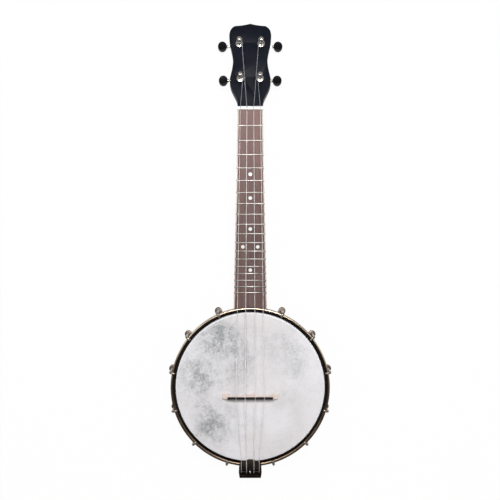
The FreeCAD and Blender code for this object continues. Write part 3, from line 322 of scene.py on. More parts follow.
def makeBoardLook():
    material, net, shader, where = startLook("oiledBoardWood", {"Specular IOR Level": 0.2})
    along = net.node("ShaderNodeSeparateXYZ", {}, {"Vector": where})["Y"]
    figure = net.noise(net.scaled(where, (210, 9, 210)), 1.0, 5, 0.6, 0.35)
    streak = net.between(net.noise(net.scaled(where, (900, 22, 900)), 1.0, 4, 0.65), 0.35, 0.7)
    pores = net.between(net.noise(net.scaled(where, (2600, 110, 2600)), 1.0, 2, 0.5), 0.58, 0.7)
    colour = net.mixed(net.between(figure, 0.3, 0.7), boardLook["light"], boardLook["brown"])
    colour = net.mixed(streak * 0.5, colour, boardLook["streak"])
    colour = net.mixed(pores * 0.6, colour, boardLook["pore"])
    # painted sheen: paler towards the nut, where the board reflects more light
    colour = net.mixed(net.between(along, 0.0, 0.2, 0.04, 0.5), colour, boardLook["worn"])
    shader.feed({"Base Color": colour, "Roughness": 0.5 + 0.15 * pores,
                 "Normal": net.bump(streak * 0.4 - pores, 0.18, 0.0002)})
    return material


def makePlainLook(name, colours, rough, fixed, scale=(60, 60, 60), bumpSize=0.05, fine=900):
    # a finish that varies softly between two colours, with a fine surface
    material, net, shader, where = startLook(name, fixed)
    cloud = net.between(net.noise(net.scaled(where, scale), 1.0, 4, 0.6), 0.3, 0.7)
    speck = net.noise(where, fine, 3, 0.6)
    shader.feed({"Base Color": net.mixed(cloud, *colours), "Roughness": rough + 0.1 * cloud + 0.06 * speck,
                 "Normal": net.bump(speck, bumpSize, 0.0001)})
    return material


nylonLook = {"clear": tint(246, 241, 241), "dull": tint(176, 176, 184), "clearFrom": -0.285, "clearTo": 0.185}


def makeNylonLook():
    # clear between the tailpiece and the nut; the duller grey on both ends is painted shade, where the strings
    # run over the headstock and round the tailpiece bar
    material, net, shader, where = startLook("clearNylon", {"Transmission Weight": 0.5, "IOR": 1.45})
    along = net.node("ShaderNodeSeparateXYZ", {}, {"Vector": where})["Y"]
    start, end = nylonLook["clearFrom"], nylonLook["clearTo"]
    clear = net.between(along, start - 0.02, start) * net.between(along, end + 0.008, end)
    speck = net.noise(where, 900, 3, 0.6)
    shader.feed({"Base Color": net.mixed(clear, nylonLook["dull"], nylonLook["clear"]),
                 "Roughness": 0.2 + 0.06 * speck, "Normal": net.bump(speck, 0.03, 0.0001)})
    return material


pearlLook = ((0.3, tint(196, 200, 206)), (0.45, tint(238, 234, 226)), (0.58, tint(214, 222, 218)),
             (0.72, tint(244, 238, 238)))


def makePearlLook():
    fixed = {"Roughness": 0.18, "Coat Weight": 0.6, "Coat Roughness": 0.08}
    material, net, shader, where = startLook("pearl", fixed)
    swirl = net.noise(where, 380, 4, 0.6, 2.2)
    shader.feed({"Base Color": net.node("ShaderNodeValToRGB", {"stops": pearlLook}, {"Fac": swirl})["Color"]})
    return material


skin = makeSkinLook()
hoopBronze = makeHoopLook()
bronze = makeBronzeLook("agedBronze", 0.15, 0.26)
hookBronze = makeBronzeLook("rubbedBronze", 1.0, 0.2)
tailBronze = makeBronzeLook("darkBronze", 0.0, 0.4, 0.22)
lacquer = makeLacquerLook()
rimPlies = makeRimLook()
boardWood = makeBoardLook()
pearl = makePearlLook()
binding = makePlainLook("creamBinding", (tint(206, 194, 184), tint(194, 180, 168)), 0.3, {"Coat Weight": 0.1})
nickel = makePlainLook("warmNickel", (tint(226, 219, 208), tint(208, 200, 188)), 0.16, {"Metallic": 1.0})
fretMetal = makePlainLook("fretWire", (tint(176, 170, 164), tint(156, 150, 144)), 0.24, {"Metallic": 1.0})
steel = makePlainLook("plainSteel", (tint(176, 176, 178), tint(152, 152, 155)), 0.3, {"Metallic": 1.0},
                      scale=(80, 20, 80))
brass = makePlainLook("turnedBrass", (tint(206, 176, 112), tint(182, 150, 92)), 0.26, {"Metallic": 1.0})
knobBlack = makePlainLook("polishedBlack", (tint(6, 6, 10), tint(12, 12, 18)), 0.16,
                          {"Specular IOR Level": 0.25})
bone = makePlainLook("polishedBone", (tint(250, 248, 245), tint(242, 239, 233)), 0.26,
                     {"Coat Weight": 0.15}, scale=(160, 500, 160))
maple = makePlainLook("sandedMaple", (tint(243, 226, 217), tint(228, 206, 194)), 0.45, {},
                      scale=(40, 500, 300), bumpSize=0.12)
ebony = makePlainLook("polishedEbony", (tint(17, 14, 15), tint(26, 22, 22)), 0.3,
                      {"Specular IOR Level": 0.12}, scale=(30, 700, 700))
nylon = makeNylonLook()
# painted shade: the flesh hoop is near-black so that the gap between the head and the tension hoop reads dark
gapShadeMetal = makePlainLook("gapShadeMetal", (tint(30, 26, 24), tint(22, 19, 18)), 0.5, {"Metallic": 0.6})
dots = makePlainLook("darkDots", (tint(24, 22, 22), tint(34, 31, 30)), 0.3, {})


# mesh work, in millimetres in a local frame until a shell is placed

def ringShell(rows, closed):
    # rows of points joined into bands; a closed one joins its last row to its first
    shell = bmesh.new()
    made = [[shell.verts.new(point) for point in row] for row in rows]
    count = len(made[0])
    pairs = list(zip(made, made[1:])) + ([(made[-1], made[0])] if closed else [])
    for lower, upper in pairs:
        for i in range(count):
            j = (i + 1) % count
            shell.faces.new((lower[i], lower[j], upper[j], upper[i]))
    if not closed:
        for row in (made[0], made[-1]):
            if len({tuple(round(c, 5) for c in vert.co) for vert in row}) > 2:
                shell.faces.new(row)
    return shell


def turned(profile, columns=96, closed=False):
    # a lathe for pairs of radius and height, either of which may change with the angle
    rows = []
    for radius, height in profile:
        row = []
        for column in range(columns):
            angle = turn * column / columns
            r = radius(angle) if callable(radius) else radius
            z = height(angle) if callable(height) else height
            row.append((r * math.cos(angle), r * math.sin(angle), z))
        rows.append(row)
    return ringShell(rows, closed)


def rounded(corners, steps=4):
    # corners of a closed outline, each with the radius that rounds it
    points = []
    for i, (x, y, radius) in enumerate(corners):
        corner = Vector((x, y))
        if radius == 0:
            points.append((x, y))
            continue
        before = (Vector(corners[i - 1][:2]) - corner).normalized()
        after = (Vector(corners[(i + 1) % len(corners)][:2]) - corner).normalized()
        half = math.acos(max(-1, min(1, before.dot(after)))) / 2
        centre = corner + (before + after).normalized() * (radius / math.sin(half))
        start = corner + before * (radius / math.tan(half)) - centre
        end = corner + after * (radius / math.tan(half)) - centre
        swing = start.angle_signed(end)
        for step in range(steps + 1):
            bent = start.copy()
            bent.rotate(Matrix.Rotation(-swing * step / steps, 2))
            points.append(tuple(centre + bent))
    return points


def hexRadius(flats, blunt=0.25):
    def radius(angle):
        reach = flats / 2 / math.cos(angle % (turn / 6) - turn / 12)
        return min(reach, flats / math.sqrt(3) - blunt)
    return radius


def chamfered(radius, start, level, slope):
    # height of a hexagon's end that is turned down at its corners
    return lambda angle: level + slope * max(0.0, radius(angle) - start)


def slab(outline, low, high):
    # a flat outline given a thickness
    shell = bmesh.new()
    rows = [[shell.verts.new((x, y, z)) for x, y in outline] for z in (low, high)]
    shell.faces.new(rows[0])
    shell.faces.new(rows[1])
    for i in range(len(outline)):
        j = (i + 1) % len(outline)
        shell.faces.new((rows[0][i], rows[0][j], rows[1][j], rows[1][i]))
    return shell


def tube(points, radius, sides=16):
    # round section carried along the points; radius may be a list, one for each
    rows = []
    points = [Vector(p) for p in points]
    side = None
    for i, point in enumerate(points):
        heading = (points[min(i + 1, len(points) - 1)] - points[max(i - 1, 0)]).normalized()
        if side is None:
            side = heading.orthogonal().normalized()
        side = (side - heading * side.dot(heading)).normalized()
        up = heading.cross(side)
        reach = radius[i] if isinstance(radius, (list, tuple)) else radius
        rows.append([point + (side * math.cos(turn * k / sides) + up * math.sin(turn * k / sides)) * reach
                     for k in range(sides)])
    return ringShell(rows, False)


def softened(nodeName, width):
    # a CAD node's own form with its sharp edges rounded, already in metres
    shell = bmesh.new()
    shell.from_mesh(nodes[nodeName].data)
    bmesh.ops.remove_doubles(shell, verts=shell.verts, dist=2e-6)
    bmesh.ops.dissolve_limit(shell, angle_limit=math.radians(0.6), verts=shell.verts, edges=shell.edges)
    bevelled(shell, width * 0.001, 40)
    return shell


def bevelled(shell, width, angle):
    # rounds the edges that turn by more than the angle
    sharp = [edge for edge in shell.edges
             if len(edge.link_faces) == 2 and edge.calc_face_angle(0) > math.radians(angle)]
    if sharp:
        bmesh.ops.bevel(shell, geom=sharp, offset=width, offset_type="OFFSET", segments=2, profile=0.5,
                        affect="EDGES", clamp_overlap=True)


def placed(shell, place):
    bmesh.ops.remove_doubles(shell, verts=shell.verts, dist=1e-4)
    bmesh.ops.recalc_face_normals(shell, faces=shell.faces)
    shell.transform(place)
    if place.determinant() < 0:
        bmesh.ops.reverse_faces(shell, faces=shell.faces)
    return shell


def makePiece(name, shells, look, body, replaced=(), sharp=38):
    # one object of several shells; without a body it is only a pattern for a tree
    whole = bmesh.new()
    for shell in shells:
        passing = bpy.data.meshes.new("passing")
        shell.to_mesh(passing)
        whole.from_mesh(passing)
        bpy.data.meshes.remove(passing)
        shell.free()
    mesh = bpy.data.meshes.new(name)
    whole.to_mesh(mesh)
    whole.free()
    return finishPiece(name, mesh, look, body, replaced, sharp)


def finishPiece(name, mesh, look, body, replaced=(), sharp=38):
    mesh.shade_smooth()
    mesh.set_sharp_from_angle(angle=math.radians(sharp))
    piece = bpy.data.objects.new(name, mesh)
    bpy.context.scene.collection.objects.link(piece)
    mesh.materials.clear()
    mesh.materials.append(look)
    if body:
        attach(piece, body)
        if replaced:
            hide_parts(*replaced)
    return piece


# geometry nodes

def startTree(name, inputs):
    tree = bpy.data.node_groups.new(name, "GeometryNodeTree")
    tree.interface.new_socket("Geometry", in_out="INPUT", socket_type="NodeSocketGeometry")
    for socketName, kind in inputs:
        tree.interface.new_socket(socketName, in_out="INPUT", socket_type=kind)
    tree.interface.new_socket("Geometry", in_out="OUTPUT", socket_type="NodeSocketGeometry")
    net = Net(tree)
    return tree, net, net.node("NodeGroupInput")


def endTree(net, group, geometry):
    real = net.node("GeometryNodeRealizeInstances", {}, {"Geometry": geometry})["Geometry"]
    painted = net.node("GeometryNodeSetMaterial", {}, {"Geometry": real, "Material": group["Material"]})
    net.node("NodeGroupOutput", {}, {"Geometry": painted["Geometry"]})


def grown(name, tree, values, start=None):
    # runs a tree and gives back its plain mesh
    carrier = bpy.data.objects.new(name + "Carrier", start or bpy.data.meshes.new(name + "Start"))
    bpy.context.scene.collection.objects.link(carrier)
    modifier = carrier.modifiers.new(name, "NODES")
    modifier.node_group = tree
    sockets = {item.name: item.identifier for item in tree.interface.items_tree if item.in_out == "INPUT"}
    for key, value in values.items():
        modifier[sockets[key]] = value
    bpy.context.view_layer.update()
    ready = carrier.evaluated_get(bpy.context.evaluated_depsgraph_get())
    mesh = bpy.data.meshes.new_from_object(ready)
    bpy.data.objects.remove(carrier)
    mesh.name = name
    return mesh


def makeRingTree():
    # fittings round the pot, evenly stepped down each side
    tree, net, group = startTree("fittingsRoundPot", (
        ("Fitting", "NodeSocketObject"), ("Each Side", "NodeSocketInt"),
        ("First Angle", "NodeSocketFloat"), ("Last Angle", "NodeSocketFloat"),
        ("Centre", "NodeSocketVector"), ("Material", "NodeSocketMaterial")))
    index = net.node("GeometryNodeInputIndex")["Index"]
    each = group["Each Side"]
    side = net.maths("FLOOR", (index + 0.5) / each)
    place = index - side * each
    angle = group["First Angle"] + (group["Last Angle"] - group["First Angle"]) / (each - 1) * place
    angle = angle * (1 - 2 * side) + side * math.pi
    points = net.node("GeometryNodePoints", {}, {"Count": each * 2, "Position": group["Centre"]})["Points"]
    fitting = net.node("GeometryNodeObjectInfo", {},
                       {"Object": group["Fitting"], "As Instance": True})["Geometry"]
    spun = net.node("ShaderNodeCombineXYZ", {}, {"Z": angle})["Vector"]
    around = net.node("GeometryNodeInstanceOnPoints", {}, {"Points": points, "Instance": fitting,
                                                           "Rotation": spun})["Instances"]
    endTree(net, group, around)
    return tree


def makeFretTree():
    # one crown for each fret, each a twelfth of an octave on, as wide as the board is there
    tree, net, group = startTree("fretsAlongBoard", (
        ("Crown", "NodeSocketObject"), ("Count", "NodeSocketInt"), ("Nut", "NodeSocketFloat"),
        ("Scale Length", "NodeSocketFloat"), ("Width At Nut", "NodeSocketFloat"),
        ("Widening", "NodeSocketFloat"), ("Level", "NodeSocketFloat"), ("Material", "NodeSocketMaterial")))
    fret = net.node("GeometryNodeInputIndex")["Index"] + 1
    fall = group["Scale Length"] * (1 - 2.0 ** (fret / -12))
    where = net.node("ShaderNodeCombineXYZ", {}, {"Y": group["Nut"] - fall, "Z": group["Level"]})["Vector"]
    points = net.node("GeometryNodePoints", {}, {"Count": group["Count"], "Position": where})["Points"]
    crown = net.node("GeometryNodeObjectInfo", {},
                     {"Object": group["Crown"], "As Instance": True})["Geometry"]
    width = group["Width At Nut"] + group["Widening"] * fall
    size = net.node("ShaderNodeCombineXYZ", {}, {"X": width, "Y": 1.0, "Z": 1.0})["Vector"]
    laid = net.node("GeometryNodeInstanceOnPoints", {}, {"Points": points, "Instance": crown,
                                                         "Scale": size})["Instances"]
    endTree(net, group, laid)
    return tree


def makeStringTree():
    # a round string along the curve that it is given
    tree, net, group = startTree("stringAlongRoute", (
        ("Radius", "NodeSocketFloat"), ("Sides", "NodeSocketInt"), ("Material", "NodeSocketMaterial")))
    section = net.node("GeometryNodeCurvePrimitiveCircle", {}, {"Resolution": group["Sides"],
                                                                "Radius": group["Radius"]})["Curve"]
    cord = net.node("GeometryNodeCurveToMesh", {}, {"Curve": group["Geometry"], "Profile Curve": section,
                                                    "Fill Caps": True})["Mesh"]
    endTree(net, group, cord)
    return tree


ringTree = makeRingTree()
fretTree = makeFretTree()
stringTree = makeStringTree()

print("pot")

skinSizes = {"thickness": 0.4, "crown": 2.4, "skirtLow": 47.5}


def makeHead():
    r = pot["headRadius"]
    top = pot["headHeight"]
    t = skinSizes["thickness"]
    outline = rounded([(0, top, 0), (r, top, skinSizes["crown"]), (r, skinSizes["skirtLow"], 0),
                       (r - t, skinSizes["skirtLow"], 0), (r - t, top - t, skinSizes["crown"] - t),
                       (0, top - t, 0)], 8)
    # the flat of the head in a few rings
    rings = [(r * share, top) for share in (0.25, 0.5, 0.75)]
    shell = turned(outline[:1] + rings + outline[1:], 256)
    makePiece("headSkin", [placed(shell, potPlace)], skin, "instrument", ["head_skin"])


hoopSizes = {"wall": 2.0, "crownSlope": 28.0, "edge": 0.35, "turnover": 0.45, "steps": 5}


def makeHoop():
    # the top is crowned a little, and turns over at small edges
    lip = pot["hoopOuter"] - hoopSizes["wall"]
    slope = math.radians(hoopSizes["crownSlope"])
    middle = (pot["hoopInner"] + pot["hoopOuter"]) / 2
    half = pot["hoopOuter"] - middle - hoopSizes["edge"]
    bend = half / math.sin(slope)
    crown = []
    for i in range(hoopSizes["steps"], -hoopSizes["steps"] - 1, -1):
        angle = slope * i / hoopSizes["steps"]
        crown.append((middle + bend * math.sin(angle), pot["hoopTop"] - bend * (1 - math.cos(angle)), 0))
    edge = crown[0][1] - hoopSizes["edge"] * math.tan(slope)
    outline = rounded([
        (pot["hoopInner"], pot["fleshTop"], 0.2), (lip, pot["fleshTop"], 0.2), (lip, pot["hoopLow"], 0.5),
        (pot["hoopOuter"], pot["hoopLow"], 0.6), (pot["hoopOuter"], edge, hoopSizes["turnover"])] + crown
        + [(pot["hoopInner"], edge, hoopSizes["turnover"])], 5)
    shell = placed(turned(outline, 320, closed=True), potPlace)
    makePiece("tensionHoop", [shell], hoopBronze, "instrument", ["tension_hoop"])


ringSizes = {"eachSide": 6, "firstAngle": 66.2, "lastAngle": -73.1}


def aroundPot(name, shells, look, replaced):
    # the fitting is made on the +X side, and repeated round the axis
    source = makePiece(name + "Source", shells, look, None)
    mesh = grown(name, ringTree, {
        "Fitting": source, "Each Side": ringSizes["eachSide"],
        "First Angle": math.radians(ringSizes["firstAngle"]),
        "Last Angle": math.radians(ringSizes["lastAngle"]),
        "Centre": (0, potMiddle, 0), "Material": look})
    bpy.data.objects.remove(source)
    return finishPiece(name, mesh, look, "instrument", [replaced])


axisPlace = Matrix.Scale(0.001, 4)

hookSizes = {"wire": 3.6, "bend": 2.9, "clawEnd": 103.7, "end": 13.2, "thread": 13.0, "pitch": 0.8,
             "threadDepth": 0.28, "tipTaper": 0.6}


def makeHooks():
    radius = hookSizes["wire"] / 2
    x = pot["shankPlace"]
    top = pot["hoopTop"] + radius
    points = []
    sizes = []
    # the thread is a run of ridges, the wire then bends over the hoop
    threads = int(hookSizes["thread"] / hookSizes["pitch"] * 2)
    for i in range(threads + 1):
        points.append((x, 0, hookSizes["end"] + i * hookSizes["pitch"] / 2))
        sizes.append(radius - (hookSizes["threadDepth"] if i % 2 == 0 else 0.0))
    sizes[0] = radius - hookSizes["tipTaper"]
    bend = hookSizes["bend"]
    for i in range(9):
        angle = turn / 4 * i / 8
        points.append((x - bend + bend * math.cos(angle), 0, top - bend + bend * math.sin(angle)))
        sizes.append(radius)
    # the claw draws in a little and ends in a rounded nose
    end = hookSizes["clawEnd"]
    for back, size in ((2.6, 1.0), (1.2, 0.96), (0.5, 0.8), (0.12, 0.5), (0, 0.15)):
        points.append((end + back, 0, top))
        sizes.append(radius * size)
    shell = placed(tube(points, sizes, 20), axisPlace)
    aroundPot("tensionHooks", [shell], hookBronze, "tension_hooks")


shoeSizes = {"seat": 101.2, "foot": 3.5, "width": 9.7, "footHeight": 20.0, "corner": 1.0, "edge": 1.5,
             "inset": 0.02, "bevel": 0.4, "slices": 14}


def makeShoes():
    # cut in slices across, so that the foot follows the rim and the arm is round
    half = shoeSizes["width"] / 2
    slices = shoeSizes["slices"]
    rows = []
    for i in range(slices + 1):
        y = -half * math.cos(math.pi * i / slices)
        seat = math.sqrt(shoeSizes["seat"] ** 2 - y * y)
        foot = shoeSizes["seat"] + shoeSizes["foot"] - 0.25 * (y / half) ** 2
        reach = pot["shankPlace"] + math.sqrt(max(half * half - y * y, 0.0)) - shoeSizes["inset"]
        top = pot["shoeTop"]
        edge = min(shoeSizes["edge"], 0.3 * (reach - foot))
        outline = rounded([
            (seat, top - shoeSizes["footHeight"], 0.3), (foot, top - shoeSizes["footHeight"], 1.2),
            (foot, pot["armLow"], shoeSizes["corner"]), (reach, pot["armLow"], edge * 0.6),
            (reach, top, edge), (seat, top, 0.3)], 4)
        rows.append([(x, y, z) for x, z in outline])
    shell = placed(ringShell(rows, False), axisPlace)
    bevelled(shell, shoeSizes["bevel"] * 0.001, 60)
    aroundPot("bracketShoes", [shell], bronze, "bracket_shoes")


boltSizes = {"flats": 7.0, "head": 3.0, "flange": 5.0, "flangeThickness": 1.0, "shank": 2.4, "length": 12.5,
             "drop": 14.0}


def makeShoeBolts():
    seat = math.sqrt(pot["rimInner"] ** 2 - boltSizes["flange"] ** 2) - 0.05
    hexagon = hexRadius(boltSizes["flats"])
    head = boltSizes["flangeThickness"] + boltSizes["head"]
    ease = boltSizes["flats"] / 2
    shank, flange, thick = boltSizes["shank"], boltSizes["flange"], boltSizes["flangeThickness"]
    profile = [(0, -boltSizes["length"]), (shank, -boltSizes["length"]), (shank, 0), (flange - 0.15, 0),
               (flange, 0.15), (flange, thick - 0.25), (flange - 0.3, thick), (hexagon, thick),
               (hexagon, chamfered(hexagon, ease, head, -0.55)), (ease - 0.1, head), (1.6, head),
               (1.4, head - 0.3), (0, head - 0.3)]
    place = (axisPlace @ Matrix.Translation((seat, 0, pot["shoeTop"] - boltSizes["drop"]))
             @ Matrix.Rotation(-turn / 4, 4, "Y"))
    aroundPot("shoeBolts", [placed(turned(profile, 72), place)], steel, "shoe_bolts")


nutSizes = {"flats": 7.2, "flange": 4.5, "flangeThickness": 1.4, "bore": 1.86}


def makeHookNuts():
    hexagon = hexRadius(nutSizes["flats"])
    low = pot["nutLow"]
    ease = nutSizes["flats"] / 2 - 0.1
    top = pot["armLow"]
    step = top - nutSizes["flangeThickness"]
    bore, flange = nutSizes["bore"], nutSizes["flange"]
    profile = [(bore, low + 0.4), (bore + 0.4, low), (ease, low), (hexagon, chamfered(hexagon, ease, low, 0.6)),
               (hexagon, step), (flange - 0.4, step), (flange, step + 0.35), (flange, top - 0.15),
               (flange - 0.15, top), (bore, top)]
    spread = (ringSizes["lastAngle"] - ringSizes["firstAngle"]) / (ringSizes["eachSide"] - 1)
    for number in range(1, 2 * ringSizes["eachSide"] + 1):
        place = (number - 1) % ringSizes["eachSide"]
        angle = ringSizes["firstAngle"] + spread * place
        if number > ringSizes["eachSide"]:
            angle = 180 - angle
        where = (potPlace @ Matrix.Rotation(math.radians(angle), 4, "Z")
                 @ Matrix.Translation((pot["shankPlace"], 0, 0)))
        shell = placed(turned(profile, 72, closed=True), where)
        label = "%02d" % number
        makePiece("hookNut" + label, [shell], bronze, "nut_" + label, ["hook_nut_" + label])


makeHead()
makeHoop()
makeHooks()
makeShoes()
makeShoeBolts()
makeHookNuts()

print("neck and board")

# how far a CAD form's edges are rounded, its finish and its slot
softSizes = {
    "neck": (0.8, lacquer, "neck_lacquer"), "headstock_veneer": (0.35, lacquer, "neck_lacquer"),
    "fretboard_binding": (0.25, binding, "binding"), "string_nut": (0.25, bone, "bone"),
    "bridge_body": (0.35, maple, "maple"), "bridge_cap": (0.12, ebony, "ebony"),
    "tailpiece_plate": (0.3, tailBronze, "aged_bronze"),
    "tailpiece_bracket": (0.3, tailBronze, "aged_bronze"),
    "tuner_housings": (0.5, nickel, "nickel"),
}

shadeTraySizes = {"halfWidth": 13.4, "near": -109.2, "far": -123.2, "low": 52.6, "high": 53.4, "slot": 1.3,
             "slotEnd": -120.0}


def makeShadeTray():
    # a dark tray under the tailpiece's window, painted shade for the shadowed inside of the tailpiece, slotted
    # for the hook bolt
    half, near, far = shadeTraySizes["halfWidth"], shadeTraySizes["near"], shadeTraySizes["far"]
    slot, end = shadeTraySizes["slot"], shadeTraySizes["slotEnd"]
    outline = [(-half, far), (half, far), (half, near), (slot, near), (slot, end), (-slot, end), (-slot, near),
               (-half, near)]
    return placed(slab(outline, shadeTraySizes["low"], shadeTraySizes["high"]), potPlace)


def makeSoftened():
    for nodeName, (width, look, slot) in softSizes.items():
        name = "soft" + "".join(word.capitalize() for word in nodeName.split("_"))
        shells = [softened(nodeName, width)] + ([makeShadeTray()] if nodeName == "tailpiece_plate" else [])
        makePiece(name, shells, look, "instrument", [nodeName], sharp=30)


fretSizes = {"count": 18, "width": 2.0, "height": 1.0, "sunk": 0.05, "fullness": 0.8, "facets": 10,
             # places across a crown one millimetre long, and the share of its height there
             "ends": ((-0.5, 0.05), (-0.495, 0.45), (-0.478, 1.0), (0.478, 1.0), (0.495, 0.45), (0.5, 0.05))}


def makeFrets():
    # the crown is stretched to the board's width in the tree
    rows = []
    sunk = fretSizes["sunk"]
    for x, share in fretSizes["ends"]:
        row = []
        for i in range(fretSizes["facets"] + 1):
            angle = math.pi * i / fretSizes["facets"]
            rise = (fretSizes["height"] + sunk) * share * math.sin(angle) ** fretSizes["fullness"]
            row.append((x, fretSizes["width"] / 2 * math.cos(angle), rise - sunk))
        rows.append(row)
    crown = placed(ringShell(rows, False), Matrix.Identity(4))
    source = makePiece("fretCrown", [crown], fretMetal, None)
    widening = (neck["widthEnd"] - neck["widthNut"]) / (neck["nutFront"] - neck["boardEnd"])
    mesh = grown("frets", fretTree, {
        "Crown": source, "Count": fretSizes["count"], "Nut": neck["nutFront"],
        "Scale Length": neck["scale"], "Width At Nut": neck["widthNut"], "Widening": widening,
        "Level": neck["boardTop"], "Material": fretMetal})
    bpy.data.objects.remove(source)
    mesh.transform(neckPlace)
    finishPiece("fretWires", mesh, fretMetal, "instrument", ["frets"])


makeSoftened()
makeFrets()

print("tuners")

# a tuner's place along and across the headstock's face, then sizes from that face
tunerSizes = {"upper": (92.2, 15.1), "lower": (40.9, 13.5), "postRadius": 2.7, "postTop": 16.0,
              "shaftSide": 4.8, "shaftLevel": -20.25}
tunerPlaces = {}
for level in ("upper", "lower"):
    along, across = tunerSizes[level]
    mirrored = Matrix.Scale(-1, 4, (1, 0, 0))
    tunerPlaces[level + "_left"] = headPlace @ Matrix.Translation((-across, along, 0)) @ mirrored
    tunerPlaces[level + "_right"] = headPlace @ Matrix.Translation((across, along, 0))

postSizes = {"foot": -19.0, "groove": 11.2, "wheelRadius": 3.1, "toothDepth": 0.25, "teeth": 14,
             "wheelLow": -22.7, "wheelHigh": -18.0}


def makePosts():
    r = tunerSizes["postRadius"]
    top = tunerSizes["postTop"]
    groove = postSizes["groove"]
    profile = [(0, postSizes["foot"]), (r, postSizes["foot"]), (r, 3.6), (r - 0.25, 4.0),
               (r - 0.25, groove - 2.2), (r, groove - 1.8), (r, groove + 2.2), (r - 0.6, groove + 2.7),
               (r - 0.6, groove + 3.1), (r, groove + 3.5), (r, top - 0.9), (r - 0.25, top - 0.4),
               (r - 0.9, top - 0.08), (r - 1.6, top), (0, top)]

    def tooth(angle):
        return postSizes["wheelRadius"] - postSizes["toothDepth"] * (math.sin(postSizes["teeth"] * angle) > 0)

    low, high = postSizes["wheelLow"], postSizes["wheelHigh"]
    wheel = [(0, low - 0.2), (3.0, low - 0.2), (tooth, low), (tooth, high), (0, high + 0.2)]
    for name, place in tunerPlaces.items():
        shells = [placed(turned(profile, 48), place), placed(turned(wheel, 112), place)]
        makePiece("stringPost_" + name, shells, nickel, "post_" + name, ["string_post_" + name])


bushSizes = {"flats": 7.2, "head": 2.4, "barrel": 3.45, "depth": 13.8, "washer": 5.25, "washerThickness": 0.8,
             "washerBore": 3.56, "bore": 2.76}


def makeBushings():
    hexagon = hexRadius(bushSizes["flats"])
    low = bushSizes["washerThickness"]
    high = low + bushSizes["head"]
    bore = bushSizes["bore"]
    ease = bushSizes["flats"] / 2
    barrel, depth = bushSizes["barrel"], bushSizes["depth"]
    bushing = [(bore, -depth), (barrel, -depth), (barrel, low), (hexagon, low),
               (hexagon, chamfered(hexagon, ease, high, -0.5)), (ease - 0.15, high), (3.2, high + 0.05),
               (3.15, high + 0.55), (2.95, high + 0.75), (bore, high + 0.75)]
    outer, hole = bushSizes["washer"], bushSizes["washerBore"]
    washer = [(hole, 0.0), (outer - 0.2, 0), (outer, 0.2), (outer - 0.1, 0.5), (outer - 0.7, low),
              (hole, low)]
    for name, profile, replaced in (("tunerBushings", bushing, "tuner_bushings"),
                                    ("tunerWashers", washer, "tuner_washers")):
        shells = [placed(turned(profile, 72, closed=True), place) for place in tunerPlaces.values()]
        makePiece(name, shells, nickel, "instrument", [replaced])


screwSizes = {"along": -9.6, "seat": -16.0, "head": 2.1, "height": 1.3, "shank": 1.0, "tip": -8.5}


def makeScrews():
    r, shank = screwSizes["head"], screwSizes["shank"]
    seat, tip = screwSizes["seat"], screwSizes["tip"]
    low = seat - screwSizes["height"]
    profile = [(0, tip), (shank * 0.6, tip), (shank, tip - 1.0), (shank, seat), (r, seat), (r, seat - 0.4),
               (r * 0.9, low + 0.35), (r * 0.6, low + 0.08), (0, low)]
    shells = []
    for place in tunerPlaces.values():
        here = place @ Matrix.Translation((0, screwSizes["along"], 0))
        shells.append(placed(turned(profile, 32), here))
    makePiece("tunerScrews", shells, nickel, "instrument", ["tuner_screws"])


knobSizes = {"reach": 24.0, "long": 12.6, "tall": 14.4, "thick": 6.8, "collar": 2.5, "shaft": 1.1,
             "worm": 1.5, "wormDepth": 0.3, "wormStep": 0.62}


def makeKnobs():
    k = knobSizes
    side = Matrix.Translation((0, tunerSizes["shaftSide"], tunerSizes["shaftLevel"]))
    along = side @ Matrix.Rotation(turn / 4, 4, "Y")
    half = k["thick"] / 2
    # the button's face dishes in a little inside its rounded rim
    face = [(0.0, half - 0.35), (0.55, half - 0.3), (0.78, half - 0.08), (0.86, half)]
    rim = [(0.93, half - 0.25), (0.98, half - 0.9), (1.0, half - 1.8)]
    profile = face + rim + [(r, -z) for r, z in reversed(face + rim)]
    stem = [(0, 8.0), (k["shaft"], 8.0), (k["shaft"], k["reach"] - 4), (0, k["reach"] - 4)]
    worm = [(0, -3.5), (k["worm"], -3.5)]
    for i in range(12):
        worm.append((k["worm"] - (0 if i % 2 else k["wormDepth"]), -3.4 + i * k["wormStep"]))
    worm += [(k["shaft"], 3.5), (k["shaft"], 9.0), (0, 9.0)]
    # the collar stands where the button begins, and its spigot goes into the button
    c = k["collar"]
    edge = k["reach"] - k["long"] / 2
    collar = [(0, edge - 1.6), (c - 0.3, edge - 1.6), (c, edge - 1.2), (c, edge - 0.5), (c - 0.4, edge - 0.2),
              (c - 0.6, edge + 0.6), (c - 0.2, k["reach"] - 3.0), (0, k["reach"] - 3.0)]
    for name, place in tunerPlaces.items():
        button = turned(profile, 64)
        for vert in button.verts:
            vert.co.x = vert.co.x * k["long"] / 2 + k["reach"]
            vert.co.y = vert.co.y * k["tall"] / 2
        makePiece("tunerKnob_" + name, [placed(button, place @ side)], knobBlack,
                  "knob_" + name, ["tuner_knob_" + name])
        shells = [placed(turned(form, 32), place @ along) for form in (stem, worm, collar)]
        makePiece("wormShaft_" + name, shells, nickel, "knob_" + name, ["worm_shaft_" + name])


makePosts()
makeBushings()
makeScrews()
makeKnobs()

print("strings")

stringSizes = {
    # diameter, then the places across the nut, the bridge and the tailpiece, and the post it winds on
    "string_g": (0.72, -13.6, -19.0, -12.2, "lower", -1), "string_c": (1.00, -4.6, -6.8, -5.0, "upper", -1),
    "string_e": (0.84, 4.6, 6.8, 5.0, "upper", 1), "string_a": (0.72, 13.6, 19.0, 12.2, "lower", 1),
}
routeSizes = {"bridge": -12.8, "bridgeTop": 73.62, "plateTop": 63.6, "plateFront": -96.3, "window": -112.3,
              "bar": -115.8, "barHeight": 60.1, "barRadius": 1.3, "turns": 3, "turnSteps": 24, "gap": 0.45,
              "rise": 4.6, "tail": 3.5}


